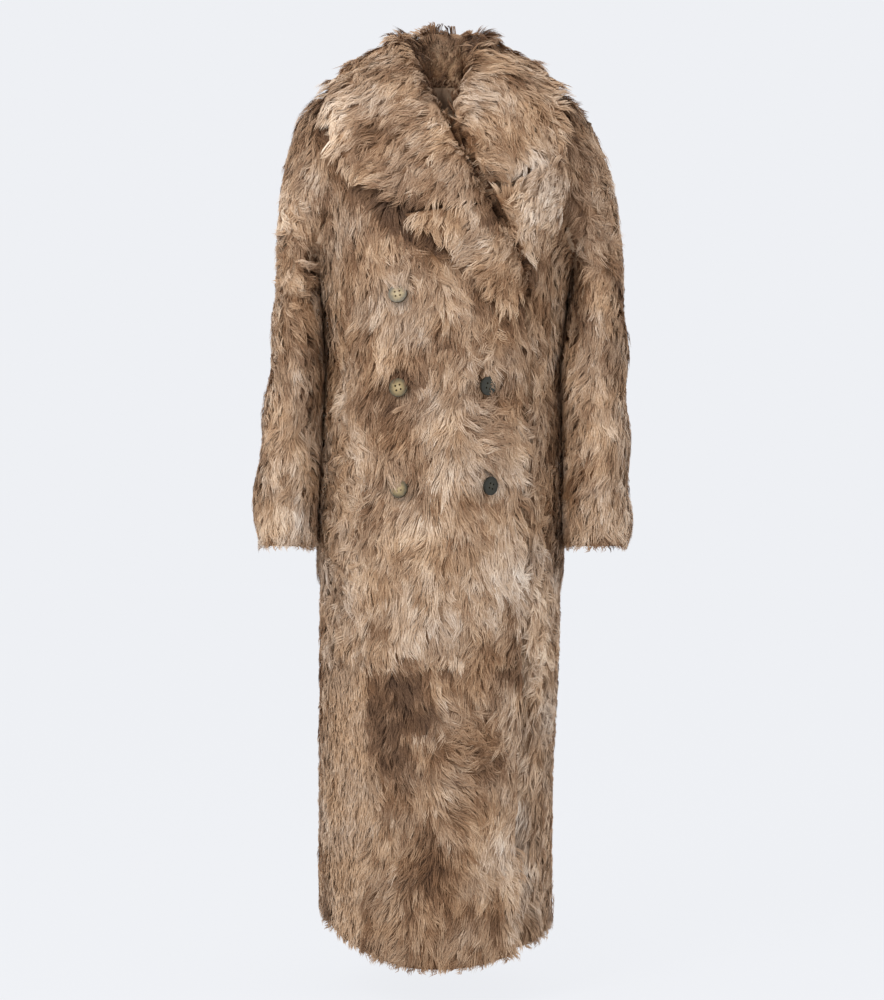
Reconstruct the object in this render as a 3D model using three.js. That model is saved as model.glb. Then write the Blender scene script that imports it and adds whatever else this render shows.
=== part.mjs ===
// A full-length double-breasted shearling coat, fur side out, standing as it is worn.
//
// Millimetres. +X is the viewer's right, which is the wearer's left. The front faces -Y and +Z is up.
// The origin is at the base of the neck, level with the points where the shoulders meet the neck.
//
// Every cloth piece is a wall with a fur face and a suede face. A place on the body is given by an
// angle and a height: angle -90 is the middle of the front, 90 the middle of the back, 0 the viewer's
// right side and -180 the viewer's left side.

import * as THREE from 'three';

// Driving dimensions
const WALL = 14; // suede of 1.5 mm with 12.5 mm of pile
const SEAM = 0.4; // space between two pieces at a seam
const SQUARENESS = 2.3; // exponent of the body's rings, 2 being an ellipse
const LEVEL_SEAM = -801; // height of the seam that joins the upper and the lower panels
const OVERLAP_EDGE = 109; // where the right front ends, in x
const UNDERLAP_EDGE = -90; // where the left front ends under it
const UNDER = WALL + 0.6; // how far the left front lies inside the right one
const RETURN = 20; // width over which the left front comes back out to the surface
const ARMHOLE = { middle: -130.5, half: 112.5, reach: 0.66, steps: 24, princess: 8 };
const BUTTON = { radius: 12.5, thick: 3.6, hole: 1.4, spread: 3.1 };
const DIMPLE = { depth: 7, flat: 18, wide: 32, row: 13 };
const NECK_EDGE = 26; // height of the body's turned-up neck edge at the sides
const NAPE = { dip: 20, from: -70, over: 75 }; // how much lower it is at the back, and where the dip begins
const FOLD_END = -300; // below it the fronts overlap, above it the right front's edge is the roll line
const SEAM_BLEND = -235; // from here up the princess seams turn towards the armholes
const LAY_SIDE = 148; // the collar and lapels lie on the body as far as this x, and go straight on past it

const radians = Math.PI / 180;
const table = (names, rows) => rows.map((row) => Object.fromEntries(names.map((name, i) => [name, row[i]])));
const mix = (a, b, t) => a + (b - a) * t;
const mixed = (a, b, t) => a.clone().lerp(b, t);
const smooth = (t) => {
	const s = Math.min(1, Math.max(0, t));
	return s * s * (3 - 2 * s);
};

// A smooth curve through a table's column that never overshoots its values
function along(rows, key, name, at) {
	const last = rows.length - 1;
	const sign = rows[last][key] > rows[0][key] ? 1 : -1;
	const x = (i) => rows[i][key] * sign;
	const t = Math.min(x(last), Math.max(x(0), at * sign));
	let i = 0;
	while (i < last - 1 && t > x(i + 1)) i++;
	const slope = (k) => (rows[k + 1][name] - rows[k][name]) / (x(k + 1) - x(k));
	const bend = (k) => {
		if (k === 0) return slope(0);
		if (k === last) return slope(last - 1);
		const [a, b] = [slope(k - 1), slope(k)];
		return a * b > 0 ? (2 * a * b) / (a + b) : 0;
	};
	const step = x(i + 1) - x(i);
	const u = (t - x(i)) / step;
	const [p, q] = [rows[i][name], rows[i + 1][name]];
	const hermite = (1 + 2 * u) * (1 - u) ** 2 * p + u * u * (3 - 2 * u) * q;
	return hermite + step * (u * (1 - u) ** 2 * bend(i) - u * u * (1 - u) * bend(i + 1));
}

// The body's rings, from the hem to the turned-up neck edge
const BODY = table(
	['z', 'half', 'front', 'back', 'shift'],
	[
		[-1230, 162, 150, 152, -9],
		[-1000, 162, 150, 152, -9],
		[-800, 166, 150, 150, -4],
		[-650, 167, 148, 146, -2],
		[-470, 164, 145, 140, 0],
		[-400, 161, 144, 136, 1],
		[-300, 168, 142, 128, 3],
		[-243, 180, 140, 122, 4],
		[-190, 189, 136, 114, 3],
		[-130, 195, 125, 102, 2],
		[-60, 196, 96, 85, 0],
		[-35, 188, 84, 78, 0],
		[-18, 171, 74, 74, 0],
		[-5, 134, 65, 70, 0],
		[6, 94, 56, 65, 0],
		[14, 75, 49, 61, 0],
		[NECK_EDGE, 66, 44, 58, 0],
	],
);
// Edge of the right front from its overlap up the roll line to the neck, and the same of the left front
const RIGHT_EDGE = table(
	['z', 'x'],
	[
		[-1230, OVERLAP_EDGE],
		[FOLD_END, OVERLAP_EDGE],
		[-247, 88],
		[-207, 64],
		[-167, 41],
		[-127, 21],
		[-87, 3],
		[-56, -14],
		[-40, -25],
		[-13, -42],
		[8, -54],
		[NECK_EDGE, -65.13],
	],
);
const LEFT_EDGE = table(
	['z', 'x'],
	[
		[-1230, UNDERLAP_EDGE],
		[-450, UNDERLAP_EDGE],
		[-390, -50],
		[-335, 20],
		[FOLD_END, OVERLAP_EDGE + 0.3],
		[-296, 121],
		[-275, 119],
		[-254, 112],
		[-207, 86],
		[-167, 62],
		[-127, 43],
		[-87, 27],
		[-51, 29],
		[-33, 38],
		[-8, 50],
		[8, 57],
		[NECK_EDGE, 65.13],
	],
);
const PRINCESS = table(
	['z', 'right', 'left'],
	[
		[-1230, -101, 146],
		[-340, -98, 146],
		[-280, -104, 148],
		[-230, -126, 154],
	],
);
// Height of the hem: lowest at the front, higher at the sides
const HEM = table(
	['angle', 'z'],
	[
		[-270, -1168],
		[-180, -1150],
		[-90, -1209],
		[0, -1170],
		[90, -1168],
	],
);
const BUTTONS = table(
	['name', 'x', 'z', 'tilt', 'lean', 'seat'],
	[
		['button_right_1', -60, -305, -14, 8, 0.4],
		['button_right_2', -60, -430, 0, 0, 1],
		['button_right_3', -58, -566, -10, -10, -0.4],
		['button_left_1', 61, -428, 0, 24, -0.4],
		['button_left_2', 64, -562, 0, 30, 1],
	],
);

// The nape is lower than the sides of the neck, and the back's top rings dip with it
const napeDip = (angle, z) => NAPE.dip * smooth(Math.sin(angle * radians)) * smooth((z - NAPE.from) / NAPE.over);

function bodyPoint(angle, z) {
	const [c, s] = [Math.cos(angle * radians), Math.sin(angle * radians)];
	const power = (v) => Math.sign(v) * Math.abs(v) ** (2 / SQUARENESS);
	const depth = along(BODY, 'z', s < 0 ? 'front' : 'back', z);
	const x = along(BODY, 'z', 'shift', z) + along(BODY, 'z', 'half', z) * power(c);
	return new THREE.Vector3(x, depth * power(s), z - napeDip(angle, z));
}

function bodyNormal(angle, z) {
	const around = bodyPoint(angle + 0.5, z).sub(bodyPoint(angle - 0.5, z));
	const up = bodyPoint(angle, z + 1).sub(bodyPoint(angle, z - 1));
	return around.cross(up).normalize();
}

// The angle at which the front of a ring passes a given x
function angleAt(x, z) {
	const off = x - along(BODY, 'z', 'shift', z);
	const share = Math.min(1, Math.abs(off) / along(BODY, 'z', 'half', z));
	const turn = Math.acos(share ** (SQUARENESS / 2)) / radians;
	return off < 0 ? -180 + turn : -turn;
}

// Soft lumps of the pile and the skirt's shallow folds, none of them at the sides, where sleeves hang
function lumps(angle, z) {
	const facing = Math.sin(angle * radians) ** 2;
	const fur = Math.sin(angle * 0.11 + z * 0.021) * Math.sin(z * 0.037 - angle * 0.05);
	const folds = Math.sin(angle * 0.13 + 1.2) * smooth((-600 - z) / 500);
	const plain = angle < 0 ? -310 : -90;
	return facing * smooth((plain - z) / 100) * (1.6 * fur + 2.2 * folds);
}

function dimples(point) {
	let depth = 0;
	for (const button of BUTTONS) {
		const far = point.y < 0 ? Math.hypot(point.x - button.x, point.z - button.z) : 1000;
		depth = Math.max(depth, DIMPLE.depth * (1 - smooth((far - DIMPLE.flat) / (DIMPLE.wide - DIMPLE.flat))));
	}
	return depth;
}

// The left front lies inside the surface under the overlap and comes back out just past its edge
const aboveLap = (z) => z > FOLD_END + 1;
const under = (x, z) => (aboveLap(z) ? 0 : UNDER * (1 - smooth((x - OVERLAP_EDGE - 1) / RETURN)));

// A closed wall between a fur face and a suede face, each a grid of rows of points
function wall(fur, suede, round = false) {
	const rows = fur.length;
	const columns = fur[0].length;
	const points = [...fur.flat(), ...suede.flat()];
	const at = (layer, i, j) => layer * rows * columns + i * columns + (j % columns);
	const faces = [];
	const four = (a, b, c, d) => faces.push([a, b, c], [a, c, d]);
	const spans = round ? columns : columns - 1;
	for (let i = 0; i < rows - 1; i++) {
		for (let j = 0; j < spans; j++) {
			four(at(0, i, j), at(0, i, j + 1), at(0, i + 1, j + 1), at(0, i + 1, j));
			four(at(1, i, j), at(1, i + 1, j), at(1, i + 1, j + 1), at(1, i, j + 1));
		}
		if (round) continue;
		four(at(0, i + 1, 0), at(1, i + 1, 0), at(1, i, 0), at(0, i, 0));
		four(at(1, i, spans), at(1, i + 1, spans), at(0, i + 1, spans), at(0, i, spans));
	}
	for (let j = 0; j < spans; j++) {
		four(at(0, 0, j), at(1, 0, j), at(1, 0, j + 1), at(0, 0, j + 1));
		four(at(1, rows - 1, j + 1), at(1, rows - 1, j), at(0, rows - 1, j), at(0, rows - 1, j + 1));
	}
	const volume = faces.reduce((sum, [a, b, c]) => {
		return sum + points[a].dot(points[b].clone().cross(points[c]));
	}, 0);
	const index = faces.flatMap(([a, b, c]) => (volume > 0 ? [a, b, c] : [a, c, b]));
	const geometry = new THREE.BufferGeometry();
	geometry.setAttribute('position', new THREE.Float32BufferAttribute(points.flatMap((p) => p.toArray()), 3));
	geometry.setIndex(index);
	return geometry;
}

// Draws a grid's border in by half a seam, so that two pieces cut on the same line stay apart
function trimmed(grid, sides) {
	const rows = grid.length - 1;
	const columns = grid[0].length - 1;
	const drawn = grid.map((row) => row.map((point) => point.clone()));
	const draw = (i, j, k, l) => {
		const inward = grid[k][l].clone().sub(grid[i][j]);
		drawn[i][j].addScaledVector(inward, SEAM / 2 / inward.length());
	};
	for (let j = 0; j <= columns; j++) {
		if (sides.includes('first row')) draw(0, j, 1, j);
		if (sides.includes('last row')) draw(rows, j, rows - 1, j);
	}
	for (let i = 0; i <= rows; i++) {
		if (sides.includes('first column')) draw(i, 0, i, 1);
		if (sides.includes('last column')) draw(i, columns, i, columns - 1);
	}
	return drawn;
}

// A panel of the body: place(i, j) gives an angle and a height, and inward its depth under the surface
function panel(rows, columns, place, inward = () => 0) {
	const fur = [];
	const suede = [];
	for (let i = 0; i < rows; i++) {
		fur.push([]);
		suede.push([]);
		for (let j = 0; j < columns; j++) {
			const { angle, z } = place(i, j);
			const point = bodyPoint(angle, z);
			const normal = bodyNormal(angle, z);
			const depth = inward(point);
			const relief = depth > 0.05 ? 0 : lumps(angle, z) - dimples(point);
			fur[i].push(point.clone().addScaledVector(normal, relief - depth));
			suede[i].push(point.clone().addScaledVector(normal, -WALL - depth));
		}
	}
	const sides = ['first row', 'last row', 'first column', 'last column'];
	return wall(trimmed(fur, sides), trimmed(suede, sides));
}

// The armhole is an oval on the body: step 0 is its top, a quarter of the steps its front
const armholeTurn = (step) => (step / ARMHOLE.steps) * 360 * radians;
const armholeHeight = (step) => ARMHOLE.middle + ARMHOLE.half * Math.cos(armholeTurn(step));
function armholeAngle(step, side) {
	const reach = ARMHOLE.reach * Math.abs(Math.sin(armholeTurn(step)));
	const turn = Math.asin(reach ** (SQUARENESS / 2)) / radians;
	const front = Math.sin(armholeTurn(step)) >= 0;
	if (side === 'right') return front ? -180 + turn : -180 - turn;
	return front ? -turn : turn;
}

const princessTop = armholeHeight(ARMHOLE.princess);
const armholeTop = armholeHeight(0);

// Angle of the seams at a height: the front princess seam, then the armhole, then the shoulder seam
function seamAngle(z, side, back) {
	const sign = back ? -1 : 1;
	const shoulder = side === 'right' ? -180 : 0;
	if (z >= armholeTop) return back && side === 'right' ? 180 : shoulder;
	const step = (Math.acos((z - ARMHOLE.middle) / ARMHOLE.half) / radians / 360) * ARMHOLE.steps;
	const open = z >= princessTop - 0.01;
	const top = armholeAngle(Math.min(step, ARMHOLE.princess), side);
	if (open) return sign * top;
	const x = along(PRINCESS, 'z', side, z);
	const lower = angleAt(x, z);
	const blend = smooth((z - SEAM_BLEND) / (princessTop - SEAM_BLEND));
	return sign * mix(lower, armholeAngle(ARMHOLE.princess, side), blend);
}

// Heights of the rows that all upper panels share, more of them beside the buttons of the right front
const armholeRows = [...Array(ARMHOLE.princess + 1).keys()].reverse().map(armholeHeight);
const shoulderRows = [-8, 1, 8, 16, NECK_EDGE];
const beside = (z) => [-DIMPLE.wide, -DIMPLE.row, 0, DIMPLE.row, DIMPLE.wide].map((d) => z + d);
const ROWS = {
	right: [LEVEL_SEAM, -740, -670, ...beside(-566), -498, ...beside(-430), -368, ...beside(-305), -254, -233, -212],
	left: [LEVEL_SEAM, -730, -660, -590, -520, -450, -390, -335, FOLD_END, -296, -265, -235, -210],
};
const LOWER_ROWS = 9;
const lowerHeight = (angle, i) => mix(along(HEM, 'angle', 'z', angle), LEVEL_SEAM, i / (LOWER_ROWS - 1));

// Columns of the right front as x at the middle button, turned into shares of the panel's width
const RIGHT_X = [-98, -87, -73, -60, -47, -34, -15, 12, 34, 51, 64, 77, 92, 109];
function rightColumns(z) {
	const angles = RIGHT_X.map((x) => angleAt(x, BUTTONS[1].z));
	const width = angles[angles.length - 1] - angles[0];
	const [first, last] = [seamAngle(z, 'right', false), angleAt(along(RIGHT_EDGE, 'z', 'x', z), z)];
	return angles.map((angle) => mix(first, last, (angle - angles[0]) / width));
}

// Columns of the left front: some under the right one, more where it comes out, and the rest beyond
function leftColumns(z) {
	const first = angleAt(along(LEFT_EDGE, 'z', 'x', z), z);
	const last = seamAngle(z, 'left', false);
	const covered = aboveLap(z) ? mix(first, last, 0.3) : angleAt(OVERLAP_EDGE + 1.6, z);
	const returned = aboveLap(z) ? mix(first, last, 0.7) : angleAt(OVERLAP_EDGE + 1 + RETURN, z);
	const between = (a, b, list) => list.map((t) => mix(a, b, t));
	return [
		...between(first, covered, [0, 0.33, 0.67]),
		...between(covered, returned, [0, 0.25, 0.5, 0.75]),
		...between(returned, last, [0, 0.5, 1]),
	];
}

function frontPanel(side, upper) {
	const columns = side === 'right' ? rightColumns : leftColumns;
	const inward = side === 'left' ? (p) => under(p.x, p.z) : undefined;
	const heights = [...ROWS[side], ...armholeRows, ...shoulderRows];
	const place = (i, j) => {
		const z = upper ? heights[i] : LEVEL_SEAM;
		const angle = columns(z)[j];
		return { angle, z: upper ? z : lowerHeight(angle, i) };
	};
	return panel(upper ? heights.length : LOWER_ROWS, columns(LEVEL_SEAM).length, place, inward);
}

const BACK_COLUMNS = 6;
function backPanel(side, upper) {
	const heights = [...ROWS[side], ...armholeRows, ...shoulderRows];
	const place = (i, j) => {
		const level = upper ? heights[i] : LEVEL_SEAM;
		const first = seamAngle(level, side, true);
		const angle = mix(first < 0 ? first + 360 : first, 90, j / (BACK_COLUMNS - 1));
		const around = angle > 90 ? angle - 360 : angle;
		return { angle, z: upper ? level : lowerHeight(around, i) };
	};
	return panel(upper ? heights.length : LOWER_ROWS, BACK_COLUMNS, place);
}

// A side panel runs from princess seam to princess seam, and its top is the lower half of the armhole
function sidePanel(side, upper) {
	const steps = ARMHOLE.steps - 2 * ARMHOLE.princess;
	const heights = [...ROWS[side], princessTop];
	const ends = (z) => {
		const back = seamAngle(z, side, true);
		return [seamAngle(z, side, false), side === 'right' ? back - 360 : back];
	};
	const place = (i, j) => {
		const level = upper ? heights[i] : LEVEL_SEAM;
		const rise = upper ? (level - LEVEL_SEAM) / (princessTop - LEVEL_SEAM) : 0;
		const [front, back] = ends(level);
		const [topFront, topBack] = ends(princessTop);
		const topAngle = armholeAngle(ARMHOLE.princess + j, side);
		const topShare = (topAngle - topFront) / (topBack - topFront);
		const angle = mix(front, back, mix(j / steps, topShare, rise));
		const top = armholeHeight(ARMHOLE.princess + j);
		const z = upper ? mix(LEVEL_SEAM, top, rise) : lowerHeight(angle, i);
		return { angle, z };
	};
	return panel(upper ? heights.length : LOWER_ROWS, steps + 1, place);
}

// Sleeves: level rings from below the armhole to the cuff, with the outline's outer and inner x
const SLEEVE = {
	right: table(
		['z', 'outer', 'inner', 'front', 'back'],
		[
			[-290, -232, -171, -72, 74],
			[-345, -235, -169, -80, 68],
			[-400, -240, -167, -86, 60],
			[-470, -246, -170, -94, 46],
			[-540, -255, -173, -100, 34],
			[-600, -258, -175, -102, 26],
			[-644, -255, -176, -100, 24],
		],
	),
	left: table(
		['z', 'outer', 'inner', 'front', 'back'],
		[
			[-290, 254, 180, -72, 74],
			[-345, 256, 173, -80, 68],
			[-400, 257, 168, -86, 60],
			[-470, 257, 170, -94, 46],
			[-540, 259, 172, -100, 34],
			[-600, 260, 171, -102, 26],
			[-644, 256, 172, -100, 24],
		],
	),
};
const CAP_SHARES = [0, 0.07, 0.17, 0.32, 0.52, 0.76];

function sleeveRing(rows, z, step, side) {
	const value = (name) => along(rows, 'z', name, z);
	const turn = armholeTurn(step);
	const [c, s] = [Math.cos(turn), Math.sin(turn)];
	const power = (v) => Math.sign(v) * Math.abs(v) ** (2 / SQUARENESS);
	const [middle, half] = [(value('outer') + value('inner')) / 2, (value('outer') - value('inner')) / 2];
	const [centre, depth] = [(value('front') + value('back')) / 2, (value('back') - value('front')) / 2];
	const crease = Math.max(0, c) * 2.5 * Math.sin(z * 0.052 + (side === 'right' ? 0 : 2));
	const x = middle + (half + Math.sign(half) * crease) * power(c);
	return new THREE.Vector3(x, centre - depth * power(s), z);
}

// In the cap each line of the sleeve is a cubic that leaves the armhole along the body's surface
function capPoint(side, rows, step, t) {
	const angle = armholeAngle(step, side);
	const z = armholeHeight(step);
	const start = bodyPoint(angle, z);
	const normal = bodyNormal(angle, z);
	const near = (d) => bodyPoint(armholeAngle(step + d, side), armholeHeight(step + d));
	const edge = near(0.2).sub(near(-0.2)).normalize();
	const out = normal.clone().cross(edge).multiplyScalar(side === 'right' ? -1 : 1);
	const end = sleeveRing(rows, rows[0].z, step, side);
	const drop = start.distanceTo(end);
	const top = Math.max(0, Math.cos(armholeTurn(step)));
	start.addScaledVector(out, SEAM);
	const one = start.clone().addScaledVector(out, mix(8, 42, top) + drop * 0.05);
	const two = end.clone().add(new THREE.Vector3(0, 0, mix(0.42, 0.55, top) * drop));
	const [a, b] = [mixed(start, one, t), mixed(one, two, t)];
	const c = mixed(two, end, t);
	return { point: mixed(mixed(a, b, t), mixed(b, c, t), t), normal, out };
}

function sleeve(side) {
	const rows = SLEEVE[side];
	const steps = ARMHOLE.steps;
	const below = rows.slice(1).map((row) => row.z);
	const rings = [];
	for (const t of [...CAP_SHARES, 1]) {
		rings.push([...Array(steps).keys()].map((k) => capPoint(side, rows, k, t).point));
	}
	for (const z of below) {
		rings.push([...Array(steps).keys()].map((k) => sleeveRing(rows, z, k, side)));
	}
	const inner = rings.map((ring, i) =>
		ring.map((point, k) => {
			if (i === 0) {
				const { normal } = capPoint(side, rows, k, 0);
				return point.clone().addScaledVector(normal, -WALL);
			}
			const around = ring[(k + 1) % steps].clone().sub(ring[(k + steps - 1) % steps]);
			const down = rings[Math.min(i + 1, rings.length - 1)][k].clone().sub(rings[i - 1][k]);
			const normal = around.cross(down).normalize();
			return point.clone().addScaledVector(normal, side === 'right' ? WALL : -WALL);
		}),
	);
	return wall(rings, inner, true);
}

// Collar and lapels. A station starts at the coat's edge: its outer point, the way on past the edge and
// the way out. From there the wall stands up, folds over and falls to its own outer edge.
const FOLD = 15; // radius of the fold's fur face
const FOLD_TURNS = [-90, -45, 0, 45, 90];
const FALL_SHARES = [0.14, 0.32, 0.52, 0.74, 1];
const CLEAR = 2.2; // height of the suede over the coat where the fall lies on it
const HANGING_CLEAR = 4; // the same where the fall hangs free behind the shoulders
const SEWN = 1.1; // the same under the left lapel, which is sewn down

// Lays a point on the coat at a height above its surface, measured along the surface's own normal
function onCoat(x, z, height) {
	const inside = Math.sign(x) * Math.min(Math.abs(x), LAY_SIDE);
	const lie = (at) => {
		const angle = angleAt(at, z);
		return bodyPoint(angle, z).addScaledVector(bodyNormal(angle, z), height);
	};
	const point = lie(inside);
	if (inside === x) return point;
	const slope = lie(inside).sub(lie(inside - Math.sign(x) * 12)).normalize();
	return point.addScaledVector(slope, Math.abs(x) - LAY_SIDE);
}

// How far out a point is as a share of its ring: 1 on the body's surface
function ringShare(point) {
	const angle = Math.atan2(point.y, point.x) / radians;
	const z = Math.min(point.z + napeDip(angle, point.z), NECK_EDGE);
	const across = Math.abs(point.x - along(BODY, 'z', 'shift', z)) / along(BODY, 'z', 'half', z);
	const depth = Math.abs(point.y) / along(BODY, 'z', point.y < 0 ? 'front' : 'back', z);
	return (across ** SQUARENESS + depth ** SQUARENESS) ** (1 / SQUARENESS);
}

// Moves a point that is nearer to the body than a height out to that height
function raised(start, height) {
	const point = start.clone();
	const out = new THREE.Vector3();
	for (let turn = 0; turn < 8; turn++) {
		['x', 'y', 'z'].forEach((axis) => {
			const [more, less] = [point.clone(), point.clone()];
			more[axis] += 0.5;
			less[axis] -= 0.5;
			out[axis] = ringShare(more) - ringShare(less);
		});
		const steep = out.length();
		const away = (ringShare(point) - 1) / steep;
		out.divideScalar(steep);
		if (away < height) point.addScaledVector(out, height - away);
	}
	return { point, out };
}

// The way on past an edge, in the surface and square to the edge, given two of the edge's points
function edgeFrame(angle, z, before, after, wayOn) {
	const normal = bodyNormal(angle, z);
	const on = normal.clone().cross(after.clone().sub(before)).normalize();
	if (on.dot(wayOn) < 0) on.negate();
	return { start: bodyPoint(angle, z), normal, on };
}

function frontFrame(edge, z) {
	const at = (h) => bodyPoint(angleAt(along(edge, 'z', 'x', h), h), h);
	const wayOn = new THREE.Vector3(edge === RIGHT_EDGE ? 1 : -1, 0, 0.3);
	return edgeFrame(angleAt(along(edge, 'z', 'x', z), z), z, at(z - 2), at(z + 2), wayOn);
}

function neckFrame(angle) {
	const at = (a) => bodyPoint(a, NECK_EDGE);
	const up = new THREE.Vector3(0, 0, 1);
	const frame = edgeFrame(angle, NECK_EDGE, at(angle - 2), at(angle + 2), up);
	frame.start.addScaledVector(up, SEAM);
	return frame;
}

// Fur and suede points of one station: stand, fold and fall. thick is the wall's own thickness there.
function section(frame, { stand, thick, outer, belly, lean }) {
	const { start, normal, on } = frame;
	const radius = (FOLD * thick) / WALL;
	const upright = on.clone().addScaledVector(normal, lean).normalize();
	const outward = normal.clone().addScaledVector(on, -lean).normalize();
	const foot = start.clone().addScaledVector(on, 2 * SEAM);
	const centre = foot.clone().addScaledVector(outward, radius - thick).addScaledVector(upright, stand);
	const fur = [foot.clone().addScaledVector(normal, -thick)];
	const suede = [foot.clone()];
	for (const turn of FOLD_TURNS) {
		const [c, s] = [Math.cos(turn * radians), Math.sin(turn * radians)];
		const spoke = outward.clone().multiplyScalar(s).addScaledVector(upright, c);
		fur.push(centre.clone().addScaledVector(spoke, radius));
		suede.push(centre.clone().addScaledVector(spoke, radius - thick));
	}
	const last = fur.length - 1;
	for (const t of FALL_SHARES) {
		const edgeThick = mix(thick, thick * 0.6, t ** 3);
		if (outer.lies) {
			const [x, z] = [mix(fur[last].x, outer.x, t), mix(fur[last].z, outer.z, t)];
			const lift = mix(Math.max(CLEAR, radius - thick), CLEAR, t);
			fur.push(onCoat(x, z, lift + edgeThick));
			suede.push(onCoat(x, z, lift));
		} else {
			const edge = new THREE.Vector3(outer.x, outer.y, outer.z);
			const bulge = outward.clone().multiplyScalar(belly * 4 * t * (1 - t));
			const under = raised(mixed(suede[last], edge, t).add(bulge), HANGING_CLEAR);
			suede.push(under.point);
			const out = mixed(outward, under.out, smooth(t * 1.5)).normalize();
			fur.push(under.point.clone().addScaledVector(out, edgeThick));
		}
	}
	return { fur, suede };
}

// Right and left leaf and the fall round the neck. A station is on a front's edge at a height, or on
// the neck's edge at a turn from the middle of the back. x, y and z are those of the fall's own edge.
const STATIONS = table(
	['side', 'edge', 'turn', 'stand', 'x', 'y', 'z', 'belly', 'lean'],
	[
		['right', armholeHeight(8) + 0.3, null, 0, -58, null, -176, 0, 0],
		['right', armholeHeight(7), null, 0, -84, null, -160, 0, 0],
		['right', armholeHeight(6), null, 0, -110, null, -143, 0, 0],
		['right', armholeHeight(5), null, 0, -132, null, -120, 0, 0],
		['right', armholeHeight(4), null, 0, -147, null, -92, 0, 0],
		['right', armholeHeight(3), null, 2, -154, null, -62, 0, 0],
		['right', armholeHeight(2), null, 5, -154, -56, -38, 10, 0],
		['right', -8, null, 9, -153, -34, -16, 10, 0.1],
		['right', 8, null, 14, -152, -10, -6, 9, 0.15],
		['right', 16, null, 16, -151, -2, -6, 10, 0.18],
		['right', null, 100, 23, -150, 6, -6, 11, 0.2],
		['right', null, 90, 29, -148, 16, -6, 12, 0.2],
		['right', null, 72, 42, -138, 44, -16, 14, 0.2],
		['right', null, 54, 53, -116, 72, -30, 13, 0.2],
		['right', null, 36, 60, -82, 90, -42, 9, 0.17],
		['right', null, 18, 65, -42, 100, -49, 6, 0.12],
		['left', null, 0, 66, 0, 103, -52, 6, 0.12],
		['left', null, 18, 65, 42, 100, -49, 6, 0.12],
		['left', null, 36, 60, 82, 90, -42, 9, 0.17],
		['left', null, 54, 53, 116, 72, -30, 13, 0.2],
		['left', null, 72, 42, 138, 44, -16, 14, 0.2],
		['left', null, 90, 29, 149, 16, -6, 12, 0.2],
		['left', null, 100, 23, 151, 6, -6, 11, 0.2],
		['left', 16, null, 16, 152, -2, -6, 10, 0.18],
		['left', 8, null, 14, 153, -10, -6, 9, 0.15],
		['left', -8, null, 9, 156, -34, -18, 10, 0.1],
		['left', armholeHeight(2), null, 5, 158, -56, -44, 10, 0],
		['left', armholeHeight(3), null, 2, 161, null, -70, 0, 0],
	],
);
// The left leaf's end lies on the left front beside the roll line, so it has no stand and no fold
const LEFT_END = table(
	['x', 'z', 'toX', 'toZ'],
	[
		[18, -70, 158, -88],
		[30, -92, 149, -106],
		[44, -122, 121, -130],
		[61, -158, 80, -152],
	],
);

function station(row) {
	const neck = row.turn !== null;
	const away = row.side === 'right' ? 90 + (row.turn ?? 0) : 90 - (row.turn ?? 0);
	const frame = neck ? neckFrame(away) : frontFrame(row.side === 'right' ? RIGHT_EDGE : LEFT_EDGE, row.edge);
	const outer = { x: row.x, y: row.y, z: row.z, lies: row.y === null };
	return section(frame, { stand: row.stand, thick: WALL, outer, belly: row.belly, lean: row.lean });
}

function cutStation({ x, z, toX, toZ }) {
	const fur = [];
	const suede = [];
	const rim = FOLD_TURNS.length;
	for (let k = 0; k <= rim; k++) {
		const run = 0.012 * k;
		const round = Math.sin((k / rim) * 90 * radians);
		const [px, pz] = [mix(x, toX, run), mix(z, toZ, run)];
		fur.push(onCoat(px, pz, mix(CLEAR + 2, CLEAR + WALL, round)));
		suede.push(onCoat(px, pz, CLEAR));
	}
	for (const t of FALL_SHARES) {
		const [px, pz] = [mix(mix(x, toX, 0.06), toX, t), mix(mix(z, toZ, 0.06), toZ, t)];
		fur.push(onCoat(px, pz, CLEAR + mix(WALL, WALL * 0.6, t ** 3)));
		suede.push(onCoat(px, pz, CLEAR));
	}
	return { fur, suede };
}

function collar() {
	const stations = [...STATIONS.map(station), ...LEFT_END.map(cutStation)];
	return wall(stations.map((s) => s.fur), stations.map((s) => s.suede));
}

// The right lapel folds over the front's edge and thins out where the roll line ends
const RIGHT_LAPEL = table(
	['edge', 'thick', 'x', 'z'],
	[
		[armholeHeight(8) - 0.3, 14, -50, -199],
		[-212, 14, -18, -222],
		[-233, 14, 10, -238],
		[-254, 13, 38, -266],
		[-275, 11, 64, -298],
		[-292, 8, 86, -326],
	],
);
function rightLapel() {
	const stations = RIGHT_LAPEL.map((row) => {
		const shape = { stand: 0, thick: row.thick, outer: { x: row.x, z: row.z, lies: true }, belly: 0, lean: 0 };
		return section(frontFrame(RIGHT_EDGE, row.edge), shape);
	});
	return wall(stations.map((s) => s.fur), stations.map((s) => s.suede));
}

// The left lapel lies flat on the left front, from under the collar leaf's edge to its own outer edge
const LEFT_LAPEL = table(
	['x', 'z', 'toX', 'toZ'],
	[
		[71, -172, 110, -252],
		[94, -160, 133, -238],
		[122, -141, 152, -216],
		[148, -119, 163, -182],
		[163, -98, 170, -140],
	],
);
function leftLapel() {
	const fur = [];
	const suede = [];
	const across = [0, 0.08, 0.3, 0.55, 0.8, 1];
	LEFT_LAPEL.forEach((row, i) => {
		const rim = i === 0 || i === LEFT_LAPEL.length - 1;
		const lay = (t, height) => onCoat(mix(row.x, row.toX, t), mix(row.z, row.toZ, t), height);
		fur.push(across.map((t) => lay(t, SEWN + WALL * (rim || t === 0 || t === 1 ? 0.6 : 1))));
		suede.push(across.map((t) => lay(t, SEWN)));
	});
	return wall(fur, suede);
}

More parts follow.
